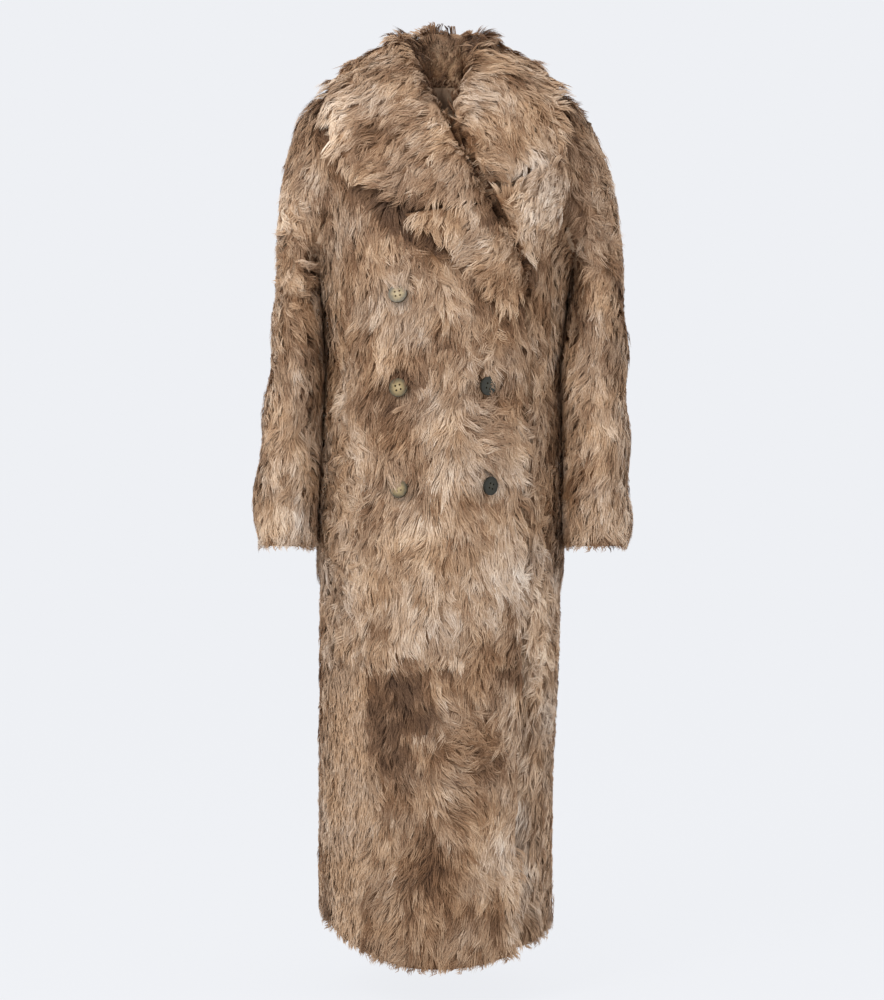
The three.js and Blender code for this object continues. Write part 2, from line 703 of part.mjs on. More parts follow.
const FUR = { color: 0xa8896b, roughness: 0.95, metalness: 0 };
const HORN = { color: 0xb7a45e, roughness: 0.35, metalness: 0 };

const coat = new THREE.Group();
function add(name, geometry, look) {
	const mesh = new THREE.Mesh(geometry, new THREE.MeshStandardMaterial(look));
	mesh.name = name;
	coat.add(mesh);
	return mesh;
}

for (const side of ['right', 'left']) {
	for (const upper of [true, false]) {
		const part = upper ? 'upper' : 'lower';
		add(`front_${side}_${part}`, frontPanel(side, upper), FUR);
		add(`side_${side}_${part}`, sidePanel(side, upper), FUR);
		add(`back_${side}_${part}`, backPanel(side, upper), FUR);
	}
	add(`sleeve_${side}`, sleeve(side), FUR);
}
add('collar', collar(), FUR);
add('lapel_right', rightLapel(), FUR);
add('lapel_left', leftLapel(), FUR);

// Buttons are one extruded outline each, with its holes, and a shank that meets the dimple's bottom
function buttonGeometry() {
	const outline = new THREE.Shape().absarc(0, 0, BUTTON.radius, 0, 2 * Math.PI, false);
	for (const [a, b] of [[1, 1], [-1, 1], [-1, -1], [1, -1]]) {
		const hole = new THREE.Path().absarc(a * BUTTON.spread, b * BUTTON.spread, BUTTON.hole, 0, 2 * Math.PI, true);
		outline.holes.push(hole);
	}
	return new THREE.ExtrudeGeometry(outline, { depth: BUTTON.thick, bevelEnabled: false, curveSegments: 14 });
}
for (const row of BUTTONS) {
	const mesh = add(row.name, buttonGeometry(), HORN);
	const angle = angleAt(row.x, row.z);
	const normal = bodyNormal(angle, row.z);
	const tilt = Math.hypot(row.tilt, row.lean) * radians;
	const rise = BUTTON.radius * Math.sin(tilt) + row.seat + lumps(angle, row.z);
	mesh.position.copy(bodyPoint(angle, row.z)).addScaledVector(normal, rise - DIMPLE.depth);
	mesh.quaternion.setFromUnitVectors(new THREE.Vector3(0, 0, 1), normal);
	mesh.rotateX(row.tilt * radians);
	mesh.rotateY(row.lean * radians);
}

export default coat;
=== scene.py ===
# %% [markdown]
# A full-length shearling coat, worn by nobody
#
# Shearling is a sheep's skin with its wool left on. The coat is cut with the wool outside, so
# what one sees is thousands of wavy locks, and the smooth suede only shows inside the neck. This
# script dresses a plain solid model of the coat: each cloth solid is replaced by a skin of suede
# with a felted ground, and locks of wool made of thin ribbons grow from that ground.

import math

import bpy
import numpy as np
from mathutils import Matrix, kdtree


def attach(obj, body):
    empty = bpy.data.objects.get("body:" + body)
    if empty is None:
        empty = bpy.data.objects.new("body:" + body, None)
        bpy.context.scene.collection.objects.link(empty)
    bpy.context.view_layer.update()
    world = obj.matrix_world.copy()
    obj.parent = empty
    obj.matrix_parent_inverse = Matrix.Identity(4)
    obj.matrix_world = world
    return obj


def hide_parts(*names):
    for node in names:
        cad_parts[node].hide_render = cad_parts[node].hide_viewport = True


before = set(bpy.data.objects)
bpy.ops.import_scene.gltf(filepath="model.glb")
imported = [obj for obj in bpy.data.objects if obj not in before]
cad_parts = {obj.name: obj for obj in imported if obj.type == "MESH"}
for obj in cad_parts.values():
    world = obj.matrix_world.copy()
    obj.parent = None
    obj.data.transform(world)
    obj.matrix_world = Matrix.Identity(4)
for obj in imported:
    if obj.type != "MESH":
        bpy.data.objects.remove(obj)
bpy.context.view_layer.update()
MM = 0.001

# %% [markdown]
# The camera
#
# The photograph was taken from far away and level with the thighs, so the coat's sides look almost
# parallel. A long lens at a few metres gives that. One picture pixel covers 1.40 mm of the plane
# through the middle of the coat, and the lens follows from the distance and that scale.

# %% Camera level with the middle of the coat
CAMERA_DISTANCE = 3200.0
CAMERA_HEIGHT = -581.0
PICTURE_HEIGHT_MM = 1400.0
SENSOR = 36.0

camera_data = bpy.data.cameras.new("camera")
camera_data.sensor_width = SENSOR
camera_data.lens = SENSOR * CAMERA_DISTANCE / PICTURE_HEIGHT_MM
camera = bpy.data.objects.new("camera", camera_data)
camera.location = (0.0, -CAMERA_DISTANCE * MM, CAMERA_HEIGHT * MM)
camera.rotation_euler = (math.radians(90), 0.0, 0.0)
bpy.context.scene.collection.objects.link(camera)
bpy.context.scene.camera = camera
print("lens in mm:", round(camera_data.lens, 1))

# %% [markdown]
# Light and floor
#
# Wool looks soft because it is lit from all round, with one broad lamp that gives the locks their
# shadows. The world is the pale backdrop, a big lamp hangs above and to the left of the camera, and
# a weaker one fills the other side. The floor glows in the backdrop's own colour, so no horizon
# shows, and takes only a faint shadow.

# %% World, lamps and floor
BACKDROP = (0.856, 0.871, 0.905)
FLOOR_LEVEL = -1262.0
FLOOR_REACH = 14.0
FLOOR_ALBEDO = 0.05

world = bpy.data.worlds.new("studio")
world.use_nodes = True
world.node_tree.nodes["Background"].inputs["Color"].default_value = (*BACKDROP, 1.0)
world.node_tree.nodes["Background"].inputs["Strength"].default_value = 1.0
bpy.context.scene.world = world
bpy.context.scene.view_settings.view_transform = "Standard"


def lamp(name, place, target, size, watts):
    """A square area lamp at place that shines at target, both in metres."""
    data = bpy.data.lights.new(name, "AREA")
    data.shape = "SQUARE"
    data.size = size
    data.energy = watts
    lamp_object = bpy.data.objects.new(name, data)
    aim = np.array(target, float) - np.array(place, float)
    level = math.hypot(aim[0], aim[1])
    lamp_object.location = place
    lamp_object.rotation_euler = (math.pi / 2 + math.atan2(aim[2], level), 0.0, math.atan2(-aim[0], aim[1]))
    bpy.context.scene.collection.objects.link(lamp_object)


lamp("key", (-1.3, -1.9, 1.1), (0.0, 0.0, -0.5), 1.2, 40.0)
lamp("fill", (2.0, -1.6, 0.1), (0.0, 0.0, -0.6), 1.8, 10.0)


def new_material(name, roughness, specular):
    """A material, its node tree and its shader."""
    material = bpy.data.materials.new(name)
    material.use_nodes = True
    shader = material.node_tree.nodes["Principled BSDF"]
    shader.inputs["Roughness"].default_value = roughness
    shader.inputs["Specular IOR Level"].default_value = specular
    return material, material.node_tree, shader


def floor_material():
    """A pale floor, lit from inside like the backdrop, so that no line shows where the two meet."""
    material, _, shader = new_material("pale floor", 1.0, 0.0)
    shader.inputs["Base Color"].default_value = (FLOOR_ALBEDO, FLOOR_ALBEDO, FLOOR_ALBEDO, 1.0)
    glow = [value * (1.0 - FLOOR_ALBEDO) for value in BACKDROP]
    shader.inputs["Emission Color"].default_value = (*glow, 1.0)
    shader.inputs["Emission Strength"].default_value = 1.0
    return material


floor_mesh = bpy.data.meshes.new("floor")
turns = ((-1, -1), (1, -1), (1, 1), (-1, 1))
corners = [(x * FLOOR_REACH, y * FLOOR_REACH, FLOOR_LEVEL * MM) for x, y in turns]
floor_mesh.from_pydata(corners, [], [(0, 1, 2, 3)])
floor_mesh.materials.append(floor_material())
floor = bpy.data.objects.new("floor", floor_mesh)
bpy.context.scene.collection.objects.link(floor)

# %% [markdown]
# Curves through tables
#
# The solid model's body is a stack of rings whose width and depth are read from tables. The same
# tables are used here, in millimetres, so that the wool grows exactly where the solids are. A curve
# through a table's points must not swing past them, or the coat would bulge between two rings. So
# each point's slope is the harmonic mean of the slopes on its two sides.

# %% Helpers for curves, mixing and directions
def smooth(t):
    """0 up to t = 0, 1 from t = 1 on, and 3 t squared minus 2 t cubed between them."""
    s = np.clip(t, 0.0, 1.0)
    return s * s * (3.0 - 2.0 * s)


def mix(a, b, t):
    """a at t = 0 and b at t = 1, in a straight line."""
    return a + (b - a) * t


def column(table, number):
    """One column of a table of rows."""
    return np.array([row[number] for row in table], float)


def along(table, number, at):
    """A cubic from row to row. Its slope at a row is the harmonic mean of the slopes beside it."""
    xs, ys = column(table, 0), column(table, number)
    if xs[-1] < xs[0]:
        xs, ys = xs[::-1], ys[::-1]
    at = np.clip(at, xs[0], xs[-1])
    i = np.clip(np.searchsorted(xs, at, side="right") - 1, 0, len(xs) - 2)
    step = np.diff(xs)
    slope = np.diff(ys) / step
    before, after = slope[:-1], slope[1:]
    same = before * after > 0
    total = np.where(same, before + after, 1.0)
    inner = np.where(same, 2.0 * before * after / total, 0.0)
    bend = np.concatenate([slope[:1], inner, slope[-1:]])
    u = (at - xs[i]) / step[i]
    hermite = (1 + 2 * u) * (1 - u) ** 2 * ys[i] + u * u * (3 - 2 * u) * ys[i + 1]
    return hermite + step[i] * (u * (1 - u) ** 2 * bend[i] - u * u * (1 - u) * bend[i + 1])


def unit(vectors):
    """Each vector divided by its own length."""
    return vectors / np.maximum(np.linalg.norm(vectors, axis=-1, keepdims=True), 1e-9)


def ellipse(points, x, z, wide, high):
    """The distance of points from x and z, seen from the front: 1 on an ellipse of those half sizes."""
    return np.hypot((points[..., 0] - x) / wide, (points[..., 2] - z) / high)


# %% [markdown]
# The body of the coat
#
# A ring of the body is a squared ellipse: x and y are powers of the cosine and the sine of an
# angle. Angle -90 is the middle of the front and 90 the middle of the back. The front is deeper
# below the waist, where the two fronts overlap, and the rings close in over the shoulders to the
# neck's edge, which dips at the nape.

# %% Rings of the body
WALL = 14.0
SQUARENESS = 2.3
LEVEL_SEAM = -801.0
OVERLAP_EDGE = 109.0
UNDERLAP_EDGE = -90.0
UNDER = WALL + 0.6
RETURN = 20.0
NECK_EDGE = 26.0
NAPE_DIP = 20.0
FOLD_END = -300.0

# height, half width, depth of the front, depth of the back, middle
BODY = [
    (-1230, 162, 150, 152, -9),
    (-1000, 162, 150, 152, -9),
    (-800, 166, 150, 150, -4),
    (-650, 167, 148, 146, -2),
    (-470, 164, 145, 140, 0),
    (-400, 161, 144, 136, 1),
    (-300, 168, 142, 128, 3),
    (-243, 180, 140, 122, 4),
    (-190, 189, 136, 114, 3),
    (-130, 195, 125, 102, 2),
    (-60, 196, 96, 85, 0),
    (-35, 188, 84, 78, 0),
    (-18, 171, 74, 74, 0),
    (-5, 134, 65, 70, 0),
    (6, 94, 56, 65, 0),
    (14, 75, 49, 61, 0),
    (NECK_EDGE, 66, 44, 58, 0),
]
HALF, FRONT, BACK, SHIFT = 1, 2, 3, 4


def squared(v):
    """v to the power 2 over the rings' squareness, with its sign kept."""
    return np.sign(v) * np.abs(v) ** (2.0 / SQUARENESS)


def nape_dip(angle, z):
    """How far the top rings drop at the back: a smooth step of the sine times one of the height."""
    return NAPE_DIP * smooth(np.sin(np.radians(angle))) * smooth((z + 70.0) / 75.0)


def body_point(angle, z):
    """x is the middle plus half the width times the squared cosine; y is the depth times the squared sine."""
    angle, z = np.broadcast_arrays(np.asarray(angle, float), np.asarray(z, float))
    c, s = np.cos(np.radians(angle)), np.sin(np.radians(angle))
    depth = np.where(s < 0, along(BODY, FRONT, z), along(BODY, BACK, z))
    x = along(BODY, SHIFT, z) + along(BODY, HALF, z) * squared(c)
    return np.stack([x, depth * squared(s), z - nape_dip(angle, z)], -1)


def body_normal(angle, z):
    """The cross product of the way round a ring and the way up it."""
    around = body_point(angle + 0.5, z) - body_point(angle - 0.5, z)
    up = body_point(angle, z + 1.0) - body_point(angle, z - 1.0)
    return unit(np.cross(around, up))


def angle_at(x, z):
    """The angle at which the front of a ring passes x: the arc cosine of the share of the half width."""
    off = x - along(BODY, SHIFT, z)
    share = np.minimum(1.0, np.abs(off) / along(BODY, HALF, z))
    turn = np.degrees(np.arccos(share ** (SQUARENESS / 2.0)))
    return np.where(off < 0, -180.0 + turn, -turn)


# %% [markdown]
# Seams and edges
#
# The coat is cut in fronts, sides and backs. The front's edge runs up from the hem and, above the
# top button, becomes the roll line over which the lapel folds. The princess seams run down from the
# armholes. The hem is lowest at the front.

# %% Tables of the edges, the princess seams and the hem
RIGHT_EDGE = [
    (-1230, OVERLAP_EDGE),
    (FOLD_END, OVERLAP_EDGE),
    (-247, 88),
    (-207, 64),
    (-167, 41),
    (-127, 21),
    (-87, 3),
    (-56, -14),
    (-40, -25),
    (-13, -42),
    (8, -54),
    (NECK_EDGE, -65.13),
]
LEFT_EDGE = [
    (-1230, UNDERLAP_EDGE),
    (-450, UNDERLAP_EDGE),
    (-390, -50),
    (-335, 20),
    (FOLD_END, OVERLAP_EDGE + 0.3),
    (-296, 121),
    (-275, 119),
    (-254, 112),
    (-207, 86),
    (-167, 62),
    (-127, 43),
    (-87, 27),
    (-51, 29),
    (-33, 38),
    (-8, 50),
    (8, 57),
    (NECK_EDGE, 65.13),
]
PRINCESS = [(-1230, -101, 146), (-340, -98, 146), (-280, -104, 148), (-230, -126, 154)]
HEM = [(-270, -1168), (-180, -1150), (-90, -1209), (0, -1170), (90, -1168)]

ARMHOLE_MIDDLE, ARMHOLE_HALF, ARMHOLE_REACH = -130.5, 112.5, 0.66
ARMHOLE_STEPS, PRINCESS_STEP = 24, 8
BLEND_FROM = -235.0


def armhole_height(step):
    """The height of a step round the armhole, which starts at its top and goes to its front."""
    return ARMHOLE_MIDDLE + ARMHOLE_HALF * np.cos(2 * np.pi * step / ARMHOLE_STEPS)


def armhole_angle(step, side):
    """The body's angle at a step: the arc sine of the sine of the turn times the armhole's reach."""
    sine = np.sin(2 * np.pi * np.asarray(step, float) / ARMHOLE_STEPS)
    turn = np.degrees(np.arcsin((ARMHOLE_REACH * np.abs(sine)) ** (SQUARENESS / 2.0)))
    turn = np.where(sine >= 0, turn, -turn)
    return -180.0 + turn if side == "right" else -turn


PRINCESS_TOP = float(armhole_height(PRINCESS_STEP))
ARMHOLE_TOP = float(armhole_height(0))


def seam_angle(z, side):
    """Below the armhole the princess seam's angle, beside it the armhole's, above it the shoulder's."""
    z = np.asarray(z, float)
    cosine = np.clip((z - ARMHOLE_MIDDLE) / ARMHOLE_HALF, -1.0, 1.0)
    step = np.arccos(cosine) / (2 * np.pi) * ARMHOLE_STEPS
    beside = armhole_angle(np.minimum(step, PRINCESS_STEP), side)
    princess = angle_at(along(PRINCESS, 1 if side == "right" else 2, z), z)
    blend = smooth((z - BLEND_FROM) / (PRINCESS_TOP - BLEND_FROM))
    below = mix(princess, armhole_angle(PRINCESS_STEP, side), blend)
    angle = np.where(z >= PRINCESS_TOP, beside, below)
    return np.where(z >= ARMHOLE_TOP, -180.0 if side == "right" else 0.0, angle)

# %% [markdown]
# Lumps, dimples and the lap
#
# Pile is never even. Soft lumps run over the body, the skirt has shallow folds, and each button
# pulls a dimple into the wool. The left front passes under the right one, one wall's depth further
# in, and comes back out to the surface just past the overlap's edge.

# %% Relief of the fur's face and the way it passes under the lap
# x, z and the two tilts of each button, and how far it is raised
BUTTONS = {
    "button_right_1": (-60, -305, -14, 8, 0.4),
    "button_right_2": (-60, -430, 0, 0, 1.0),
    "button_right_3": (-58, -566, -10, -10, -0.4),
    "button_left_1": (61, -428, 0, 24, -0.4),
    "button_left_2": (64, -562, 0, 30, 1.0),
}
DIMPLE_DEPTH, DIMPLE_FLAT, DIMPLE_WIDE = 7.0, 18.0, 32.0
PLAIN_FRONT, PLAIN_BACK = -310.0, -90.0


def lumps(angle, z):
    """Products of slow sines of the angle and the height, fading out above the plain height."""
    facing = np.sin(np.radians(angle)) ** 2
    fur = np.sin(angle * 0.11 + z * 0.021) * np.sin(z * 0.037 - angle * 0.05)
    folds = np.sin(angle * 0.13 + 1.2) * smooth((-600.0 - z) / 500.0)
    plain = np.where(angle < 0, PLAIN_FRONT, PLAIN_BACK)
    return facing * smooth((plain - z) / 100.0) * (1.6 * fur + 2.2 * folds)


def dimples(points):
    """Round hollows, flat in the middle, round the buttons on the front."""
    depth = np.zeros(points.shape[:-1])
    for x, z, *_ in BUTTONS.values():
        far = np.hypot(points[..., 0] - x, points[..., 2] - z)
        rim = smooth((far - DIMPLE_FLAT) / (DIMPLE_WIDE - DIMPLE_FLAT))
        depth = np.maximum(depth, DIMPLE_DEPTH * (1.0 - rim))
    return np.where(points[..., 1] < 0, depth, 0.0)


def under(points):
    """How far the left front lies under the surface: a smooth step down just past the overlap's edge."""
    lap = UNDER * (1.0 - smooth((points[..., 0] - OVERLAP_EDGE - 1.0) / RETURN))
    return lap * (1.0 - smooth((points[..., 2] - FOLD_END) / 4.0))


# %% [markdown]
# Panels
#
# Each panel is a function of two parameters: u runs across it from 0 to 1 and v from its bottom to
# its top. The function gives an angle and a height, and the body turns those into a point. A front
# runs from its princess seam to its edge, a back from its seam to the middle of the back, and a
# side's top is the lower half of the armhole.

# %% Angle and height of a panel's point
def lower_height(angle, v):
    """From the hem at v = 0 to the level seam at v = 1."""
    return mix(along(HEM, 1, angle), LEVEL_SEAM, v)


def front_place(side, upper):
    """Mixes the princess seam's angle and the front edge's angle at one height."""

    def place(u, v):
        z = mix(LEVEL_SEAM, NECK_EDGE, v) if upper else LEVEL_SEAM + 0.0 * v
        seam = seam_angle(z, side)
        edge = angle_at(along(RIGHT_EDGE if side == "right" else LEFT_EDGE, 1, z), z)
        angle = mix(seam, edge, u) if side == "right" else mix(edge, seam, u)
        return angle, (z if upper else lower_height(angle, v))

    return place


def back_place(side, upper):
    """Mixes the back's seam angle, which mirrors the front's, and 90 degrees."""

    def place(u, v):
        z = mix(LEVEL_SEAM, NECK_EDGE, v) if upper else LEVEL_SEAM + 0.0 * v
        angle = mix(np.abs(seam_angle(z, side)), 90.0, u)
        around = np.where(angle > 90.0, angle - 360.0, angle)
        return angle, (z if upper else lower_height(around, v))

    return place


def side_place(side, upper):
    """Mixes the two seams' angles. Towards the top the share follows the armhole's own steps."""

    def ends(z):
        front = seam_angle(z, side)
        return front, (-front - 360.0 if side == "right" else -front)

    def place(u, v):
        z = mix(LEVEL_SEAM, PRINCESS_TOP, v) if upper else LEVEL_SEAM + 0.0 * v
        front, back = ends(z)
        top_front, top_back = ends(PRINCESS_TOP)
        step = PRINCESS_STEP + u * (ARMHOLE_STEPS - 2 * PRINCESS_STEP)
        share = (armhole_angle(step, side) - top_front) / (top_back - top_front)
        if not upper:
            angle = mix(front, back, u)
            return angle, lower_height(angle, v)
        return mix(front, back, mix(u, share, v)), mix(LEVEL_SEAM, armhole_height(step), v)

    return place


def on_body(place, lapped=False):
    """Turns a place on the body into the fur's face: its point and its normal."""

    def surface(u, v):
        angle, z = place(u, v)
        point, normal = body_point(angle, z), body_normal(angle, z)
        depth = under(point) if lapped else np.zeros(point.shape[:-1])
        relief = np.where(depth > 0.05, 0.0, lumps(angle, z) - dimples(point))
        return point + normal * (relief - depth)[..., None], normal

    return surface


# %% [markdown]
# Wool colours
#
# The locks run from deep brown at the skin to pale beige at the tip, and whole patches are paler or
# darker. A lock carries its tone as an attribute, and so do the points along it. One node group
# turns tone, place along the lock and noise into a colour, and a slow noise tints it from cool to
# warm. The locks and the felted ground share the group.

# %% Nodes that the materials share
def math_node(tree, operation, first, second):
    """A Math node of two inputs, each a socket or a number."""
    node = tree.nodes.new("ShaderNodeMath")
    node.operation = operation
    for place, value in enumerate((first, second)):
        if isinstance(value, (int, float)):
            node.inputs[place].default_value = value
        else:
            tree.links.new(value, node.inputs[place])
    return node.outputs[0]


def centred(tree, value, share):
    """A value less one half, times a share."""
    return math_node(tree, "MULTIPLY", math_node(tree, "SUBTRACT", value, 0.5), share)


def noise_node(tree, where, scale, detail):
    """The value of a noise at a place."""
    node = tree.nodes.new("ShaderNodeTexNoise")
    node.inputs["Scale"].default_value = scale
    node.inputs["Detail"].default_value = detail
    tree.links.new(where, node.inputs["Vector"])
    return node.outputs["Fac"]


def ramp_node(tree, value, stops):
    """A colour read from (position, colour) stops. A new ramp has two stops, so the rest are added."""
    node = tree.nodes.new("ShaderNodeValToRGB")
    elements = node.color_ramp.elements
    for position, _ in stops[2:]:
        elements.new(position)
    for element, (position, colour) in zip(elements, stops):
        element.position = position
        element.color = (*colour, 1.0)
    tree.links.new(value, node.inputs["Fac"])
    return node.outputs["Color"]


def add_bump(tree, shader, height, strength, distance):
    """Bends the shader's normal by a height, whose distance is in millimetres."""
    node = tree.nodes.new("ShaderNodeBump")
    node.inputs["Strength"].default_value = strength
    node.inputs["Distance"].default_value = distance * MM
    tree.links.new(height, node.inputs["Height"])
    tree.links.new(node.outputs["Normal"], shader.inputs["Normal"])


def named_attribute(tree, name):
    """The value of a mesh attribute."""
    node = tree.nodes.new("ShaderNodeAttribute")
    node.attribute_name = name
    return node.outputs["Fac"]


def object_place(tree):
    """The place on the object, in metres."""
    return tree.nodes.new("ShaderNodeTexCoord").outputs["Object"]


# %% A node group for the colour of wool
WOOL_RAMP = [
    (0.00, (0.020, 0.010, 0.005)),
    (0.18, (0.085, 0.042, 0.021)),
    (0.38, (0.230, 0.125, 0.066)),
    (0.58, (0.460, 0.305, 0.194)),
    (0.78, (0.690, 0.535, 0.400)),
    (1.00, (0.900, 0.790, 0.670)),
]
COOL_TINT = (0.99, 1.00, 1.02, 1.0)
WARM_TINT = (1.06, 0.985, 0.88, 1.0)
# scale and share of each noise
GRAIN, CLOUDS, HUE = (420.0, 0.26), (30.0, 0.20), (17.0, 3.2)
ALONG_MIDDLE = 0.55


def wool_group():
    """Tone plus the place along the lock times its depth plus noise, as a tinted colour and a height."""
    tree = bpy.data.node_groups.new("wool colour", "ShaderNodeTree")
    for label, value in (("Tone", 0.5), ("Along", 0.5), ("Depth", 0.3)):
        tree.interface.new_socket(label, in_out="INPUT", socket_type="NodeSocketFloat").default_value = value
    for label, kind in (("Color", "NodeSocketColor"), ("Height", "NodeSocketFloat")):
        tree.interface.new_socket(label, in_out="OUTPUT", socket_type=kind)
    given, result = tree.nodes.new("NodeGroupInput").outputs, tree.nodes.new("NodeGroupOutput").inputs
    where = object_place(tree)
    grain, clouds, hue = (noise_node(tree, where, scale, 2.0) for scale, _ in (GRAIN, CLOUDS, HUE))
    rise = math_node(tree, "SUBTRACT", given["Along"], ALONG_MIDDLE)
    rise = math_node(tree, "MULTIPLY", rise, given["Depth"])
    noise = math_node(tree, "ADD", centred(tree, grain, GRAIN[1]), centred(tree, clouds, CLOUDS[1]))
    tone = math_node(tree, "ADD", math_node(tree, "ADD", given["Tone"], rise), noise)
    tint = tree.nodes.new("ShaderNodeMix")
    tint.data_type = "RGBA"
    tint.inputs["A"].default_value = COOL_TINT
    tint.inputs["B"].default_value = WARM_TINT
    tree.links.new(math_node(tree, "ADD", centred(tree, hue, HUE[1]), 0.5), tint.inputs["Factor"])
    tinted = tree.nodes.new("ShaderNodeMix")
    tinted.data_type = "RGBA"
    tinted.blend_type = "MULTIPLY"
    tinted.inputs["Factor"].default_value = 1.0
    tree.links.new(ramp_node(tree, tone, WOOL_RAMP), tinted.inputs["A"])
    tree.links.new(tint.outputs["Result"], tinted.inputs["B"])
    tree.links.new(tinted.outputs["Result"], result["Color"])
    tree.links.new(grain, result["Height"])
    return tree


WOOL_COLOUR = wool_group()


# %% Materials for locks, felted ground and suede
def wool_material(name, depth, roughness, bump):
    """Wool whose colour comes from the mesh's tone and along attributes through the shared group."""
    material, tree, shader = new_material(name, roughness, 0.25)
    group = tree.nodes.new("ShaderNodeGroup")
    group.node_tree = WOOL_COLOUR
    tree.links.new(named_attribute(tree, "tone"), group.inputs["Tone"])
    tree.links.new(named_attribute(tree, "along"), group.inputs["Along"])
    group.inputs["Depth"].default_value = depth
    tree.links.new(group.outputs["Color"], shader.inputs["Base Color"])
    if bump:
        add_bump(tree, shader, group.outputs["Height"], 0.8, bump)
    return material


LOCK_WOOL = wool_material("wool locks", 0.15, 0.62, 0.0)
GROUND_WOOL = wool_material("felted wool", 0.15, 0.90, 2.5)
SUEDE_RAMP = [(0.25, (0.300, 0.190, 0.120)), (0.75, (0.700, 0.500, 0.340))]


def suede_material():
    """Brown suede: a fine nap in noise, slow light and dark clouds, and a darker line at each seam."""
    material, tree, shader = new_material("suede", 0.92, 0.15)
    where = object_place(tree)
    nap, clouds = (noise_node(tree, where, scale, 3.0) for scale in (900.0, 24.0))
    slow, fine = math_node(tree, "MULTIPLY", clouds, 0.7), math_node(tree, "MULTIPLY", nap, 0.3)
    mixed = math_node(tree, "MULTIPLY", math_node(tree, "ADD", slow, fine), named_attribute(tree, "along"))
    tree.links.new(ramp_node(tree, mixed, SUEDE_RAMP), shader.inputs["Base Color"])
    add_bump(tree, shader, nap, 0.5, 0.4)
    return material


SUEDE = suede_material()

# %% [markdown]
# Light and dark patches, and painted shade
#
# The wool's tone isn't random: there are pale patches and darker ones of a hand's width. The dark
# hollows under the collar's edges, along the gorge, inside the neck and where the sleeves meet the
# body are painted shade. Each is named here by its middle, its two half sizes and how much it
# changes the tone, and its edge is ragged. Slow noise, a sum of sines in random directions, fills
# the rest.

# %% Tone of the wool by place
TONE_MIDDLE = 0.555
# share, size and seed of each slow noise in the tone, and of the one that makes the patches ragged
TONE_NOISES = [(0.045, 200.0, 4), (0.080, 62.0, 3), (0.085, 27.0, 5)]
RAGGED = (0.22, 38.0, 6)

# x, z, half width, half height, change of tone, on the front only; the dark ones marked below are painted
# shade
TONE_AND_SHADE_PATCHES = [
    (-138, -78, 24, 34, 0.18),
    (-110, -10, 60, 34, 0.06),
    (-92, -86, 40, 36, -0.14),
    (-40, -248, 70, 36, -0.12),
    (-60, -345, 42, 36, 0.08),
    (0, -520, 14, 110, 0.12),
    (10, -702, 110, 90, 0.16),
    (-118, -720, 24, 90, 0.08),
    (-114, -960, 26, 190, 0.06),
    (132, -160, 44, 50, 0.20),
    (222, -60, 20, 70, 0.12),
    (-225, -210, 34, 100, 0.17),
    (-216, -612, 44, 36, 0.20),
    (222, -600, 44, 40, 0.15),
    (-225, -450, 44, 80, 0.02),
    (235, -450, 44, 80, 0.08),
    (100, -1000, 28, 200, 0.17),
    (140, -760, 26, 160, 0.14),
    (0, -1160, 120, 40, 0.03),
    (-54, -446, 32, 60, -0.22),
    (-64, -858, 48, 66, -0.22),
    (-50, -935, 44, 60, -0.12),
    (39, -770, 30, 26, -0.14),
    (10, -1010, 60, 90, -0.06),
    # painted shade where the sleeves meet the body
    (-205, -262, 34, 50, -0.14),
    (215, -280, 44, 60, -0.12),
    # painted shade in the hollow under the collar's right leaf
    (-102, -192, 66, 40, -0.10),
    (-4, -128, 34, 40, -0.01),
    # painted shade along the gorge between collar and lapel, and in the notch
    (-28, -170, 18, 8, -0.22),
    (6, -186, 22, 9, -0.24),
    (64, -190, 18, 20, -0.22),
    # painted shade inside the back of the neck
    (14, 46, 44, 14, -0.10),
    (200, -340, 44, 24, -0.06),
    (60, -452, 26, 90, -0.10),
    (150, -560, 16, 120, -0.05),
]


def slow_noise(points, size, seed):
    """A sum of eight sines in random directions, about -1 to 1, with waves of about that size."""
    own = np.random.default_rng(seed)
    total = np.zeros(points.shape[:-1])
    for _ in range(8):
        way = unit(own.normal(size=3)) * 2 * np.pi / (size * own.uniform(0.7, 1.6))
        total += np.sin(points @ way + own.uniform(0, 2 * np.pi))
    return total / 3.0


def tone_at(points):
    """The middle tone, plus slow noise, plus each patch as a soft ellipse, some of them painted shade."""
    tone = TONE_MIDDLE
    for share, size, seed in TONE_NOISES:
        tone = tone + share * slow_noise(points, size, seed)
    front = smooth((20.0 - points[..., 1]) / 60.0)
    ragged = RAGGED[0] * slow_noise(points, *RAGGED[1:])
    for x, z, wide, high, change in TONE_AND_SHADE_PATCHES:
        far = ellipse(points, x, z, wide, high) + ragged
        tone = tone + front * change * (1.0 - smooth((far - 0.5) / 0.8))
    return tone


# %% [markdown]
# Skins
#
# Under the locks each piece is a closed wall: suede on its inner face and short felted wool on its
# outer face. The outer face lies below the tips of the locks, so the locks have room to lie down
# inside the solid's own form. The rims are closed, so a light never shines through a seam.

# %% A wall between two grids of points
GROUND = 5.0
SEAM = 0.4
PAINTED_RIM_SHADE = 0.14


def add_mesh(name, points, loops, starts, attributes, materials, material_index=None):
    """A mesh object from arrays: points in millimetres, corner indices and where each face starts."""
    mesh = bpy.data.meshes.new(name)
    mesh.vertices.add(len(points))
    mesh.vertices.foreach_set("co", (points * MM).astype(np.float32).ravel())
    mesh.loops.add(len(loops))
    mesh.loops.foreach_set("vertex_index", loops.astype(np.int32))
    mesh.polygons.add(len(starts))
    mesh.polygons.foreach_set("loop_start", starts.astype(np.int32))
    for material in materials:
        mesh.materials.append(material)
    if material_index is not None:
        mesh.polygons.foreach_set("material_index", material_index.astype(np.int32))
    mesh.update(calc_edges=True)
    mesh.shade_smooth()
    for label, values in attributes.items():
        mesh.attributes.new(label, "FLOAT", "POINT").data.foreach_set("value", values.astype(np.float32))
    piece = bpy.data.objects.new(name, mesh)
    bpy.context.scene.collection.objects.link(piece)
    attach(piece, "root")
    return piece


